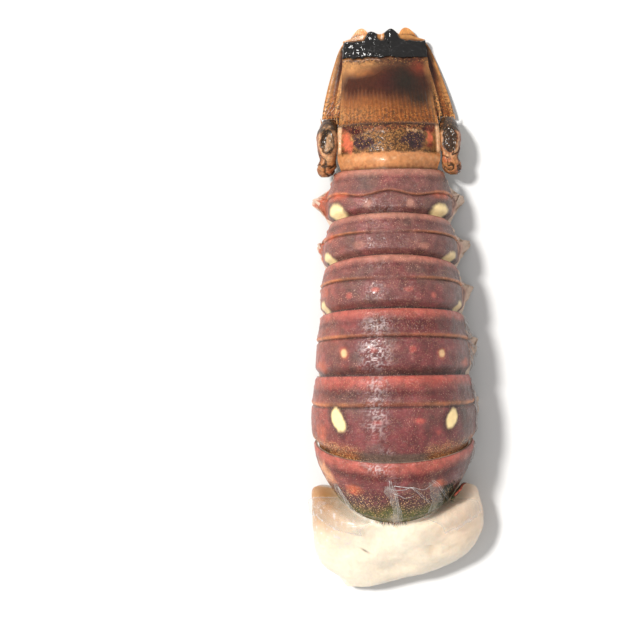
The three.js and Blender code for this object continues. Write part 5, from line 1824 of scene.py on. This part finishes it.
def build_meat():
    """The peeled meat."""
    meat_form().finish("peeled_meat", meat_finish(), "meat", ["meat"])


def build_films():
    """Torn films and the loose tab at the front."""
    film = film_finish("torn_film", 0.1)
    for word in FILMS:
        film_form(word).finish(f"torn_film_{word}", film, "film", [f"joint_film_{word}"])
    for word in STRIPS:
        strip_form(word).finish(f"torn_strip_{word}", film, "film")
    thread = film_finish("skin_thread", 0.75)
    threads_form().finish("skin_threads", thread, "film")
    side_fringe().finish("side_fringe", thread, "film")
    front_hairs().finish("flange_hairs", horn_finish("brown_hair", 0.4, 0.2), "tab")
    tab = tab_form()
    tab.finish("loose_tab", horn_finish("loose_tab_shell", 0.5, 0.2), "tab", ["shell_tab"], 50)


def build_belly():
    """Belly skin and swimmerets."""
    belly = look("tail_belly")
    skin_form().finish("belly_sheet", film_finish("belly_film", 1.7), "skin", ["belly_skin"])
    blade_finish = horn_finish("dark_blade", 0.16, 0.6)
    paddle_finish = horn_finish("amber_paddle", 0.25, 0.5, 0.3)
    blade_tones = (rgb(belly.blade), rgb(belly.blade) * 1.5, rgb(belly.joint))
    paddle_tones = (rgb(belly.paddle), rgb(belly.bar), rgb(belly.joint))
    for index in SLANTS:
        for word in ("left", "right"):
            blade, paddle = swimmeret_ends(index, word)
            key = f"{index + 1}_{word}"
            leaf = leaf_form(*blade, BLADE_HALF_WIDTH, 0.8, blade_tones, 9.0)
            leaf.finish(f"blade_{key}", blade_finish, "blade", [f"swimmeret_blade_{key}"])
            leaf = leaf_form(*paddle, PADDLE_HALF_WIDTH, 0.75, paddle_tones, 16.0)
            leaf.finish(f"paddle_{key}", paddle_finish, "paddle", [f"swimmeret_paddle_{key}"])


def build_fan():
    """Telson, bases and side plates."""
    telson = horn_finish("wet_telson", 0.4, 0.14)
    telson_form().finish("telson_fan", telson, "telson", ["telson"], 60)
    band_form().finish("black_band", horn_finish("black_jelly", 0.14, 0.5, 0.0), "telson")
    base = horn_finish("wet_base", 0.4, 0.15)
    plate = horn_finish("wet_plate", 0.4, 0.12, 0.2)
    for word, side in (("left", -1.0), ("right", 1.0)):
        base_form(side).finish(f"side_base_{word}", base, "base", [f"uropod_base_{word}"])
        for kind in PLATES:
            form = plate_form(kind, side)
            form.finish(f"side_{kind}_{word}", plate, "side", [f"{kind}_{word}"])
    fan_spines().finish("base_spines", base, "base")


def build_stage():
    """Floor, lights and the camera over the tail."""
    stage = look("tail_stage")
    scene = bpy.context.scene
    scene.view_settings.view_transform = "Standard"

    half = FLOOR_HALF
    mesh = bpy.data.meshes.new("floor")
    corners = [(-half, -half, 0), (half, -half, 0), (half, half, 0), (-half, half, 0)]
    mesh.from_pydata(corners, [], [(0, 1, 2, 3)])
    floor = bpy.data.objects.new("floor", mesh)
    scene.collection.objects.link(floor)
    n = Nodes("pale_floor")
    n.set(Base_Color=tone4(tuple(stage.floor)), Roughness=0.7)
    mesh.materials.append(n.material)

    world = bpy.data.worlds.new("sky")
    scene.world = world
    world.use_nodes = True
    sky = world.node_tree.nodes["Background"]
    sky.inputs["Color"].default_value = (1.0, 0.99, 0.98, 1.0)
    sky.inputs["Strength"].default_value = stage.fill

    data = bpy.data.lights.new("key", "SUN")
    data.angle = math.radians(SUN_SPREAD)
    data.energy = stage.key
    data.color = (1.0, 0.98, 0.95)
    key = bpy.data.objects.new("key", data)
    key.location = SUN_FROM
    key.rotation_euler = (-key.location).to_track_quat("-Z", "Y").to_euler()
    scene.collection.objects.link(key)
    place_camera(stage.height)


def place_camera(height):
    """The camera, straight above the tail and a little turned."""
    data = bpy.data.cameras.new("camera")
    data.sensor_width = CAMERA_SENSOR
    data.lens = CAMERA_LENS
    data.clip_start = 0.05
    data.clip_end = 20.0
    camera = bpy.data.objects.new("camera", data)
    bpy.context.scene.collection.objects.link(camera)
    bpy.context.scene.camera = camera
    roll = math.radians(CAMERA_ROLL)
    line = np.array((math.cos(roll), -math.sin(roll), 0.0))
    position = Vector(place(CAMERA_OVER * line)) + Vector((0.0, 0.0, height))
    back = (position - Vector(place(CAMERA_SEEN * line))).normalized()
    up = Vector((math.sin(roll), math.cos(roll), 0.0))
    right = up.cross(back).normalized()
    up = back.cross(right)
    turn = Matrix((right, up, back)).transposed()
    camera.matrix_world = Matrix.Translation(position) @ turn.to_4x4()


# Steps of the add-on
class TAIL_OT_rings(bpy.types.Operator):
    """Build the six shell rings and their bars."""
    bl_idname = "tail.rings"
    bl_label = "Shell rings"

    def execute(self, context):
        build_rings()
        return {"FINISHED"}


class TAIL_OT_meat(bpy.types.Operator):
    """Build the peeled meat."""
    bl_idname = "tail.meat"
    bl_label = "Meat"

    def execute(self, context):
        build_meat()
        return {"FINISHED"}


class TAIL_OT_films(bpy.types.Operator):
    """Build the torn films and the loose tab."""
    bl_idname = "tail.films"
    bl_label = "Films and tab"

    def execute(self, context):
        build_films()
        return {"FINISHED"}


class TAIL_OT_belly(bpy.types.Operator):
    """Build the belly skin and the swimmerets."""
    bl_idname = "tail.belly"
    bl_label = "Belly"

    def execute(self, context):
        build_belly()
        return {"FINISHED"}


class TAIL_OT_fan(bpy.types.Operator):
    """Build the telson and the side plates of the fan."""
    bl_idname = "tail.fan"
    bl_label = "Tail fan"

    def execute(self, context):
        build_fan()
        return {"FINISHED"}


class TAIL_OT_stage(bpy.types.Operator):
    """Set up the floor, the lights and the camera."""
    bl_idname = "tail.stage"
    bl_label = "Stage"

    def execute(self, context):
        build_stage()
        return {"FINISHED"}


class TAIL_PT_panel(bpy.types.Panel):
    """Lists the building steps in the sidebar."""
    bl_idname = "TAIL_PT_panel"
    bl_label = "Lobster tail"
    bl_space_type = "VIEW_3D"
    bl_region_type = "UI"
    bl_category = "Lobster tail"

    def draw(self, context):
        for operator in OPERATORS:
            self.layout.operator(operator.bl_idname)


LOOKS = {
    "tail_shell": ShellLook,
    "tail_meat": MeatLook,
    "tail_fan": FanLook,
    "tail_belly": BellyLook,
    "tail_stage": StageLook,
}
OPERATORS = (
    TAIL_OT_stage, TAIL_OT_rings, TAIL_OT_meat, TAIL_OT_films, TAIL_OT_belly, TAIL_OT_fan,
)


def register():
    """Registers the settings, the operators and the panel."""
    for name, group in LOOKS.items():
        bpy.utils.register_class(group)
        setattr(bpy.types.Scene, name, PointerProperty(type=group))
    for operator in OPERATORS:
        bpy.utils.register_class(operator)
    bpy.utils.register_class(TAIL_PT_panel)


def unregister():
    """Takes away what register() added."""
    bpy.utils.unregister_class(TAIL_PT_panel)
    for operator in reversed(OPERATORS):
        bpy.utils.unregister_class(operator)
    for name, group in LOOKS.items():
        delattr(bpy.types.Scene, name)
        bpy.utils.unregister_class(group)


def main():
    """Builds every piece."""
    register()
    bpy.ops.tail.stage()
    bpy.ops.tail.rings()
    bpy.ops.tail.meat()
    bpy.ops.tail.films()
    bpy.ops.tail.belly()
    bpy.ops.tail.fan()


if __name__ == "__main__":
    main()
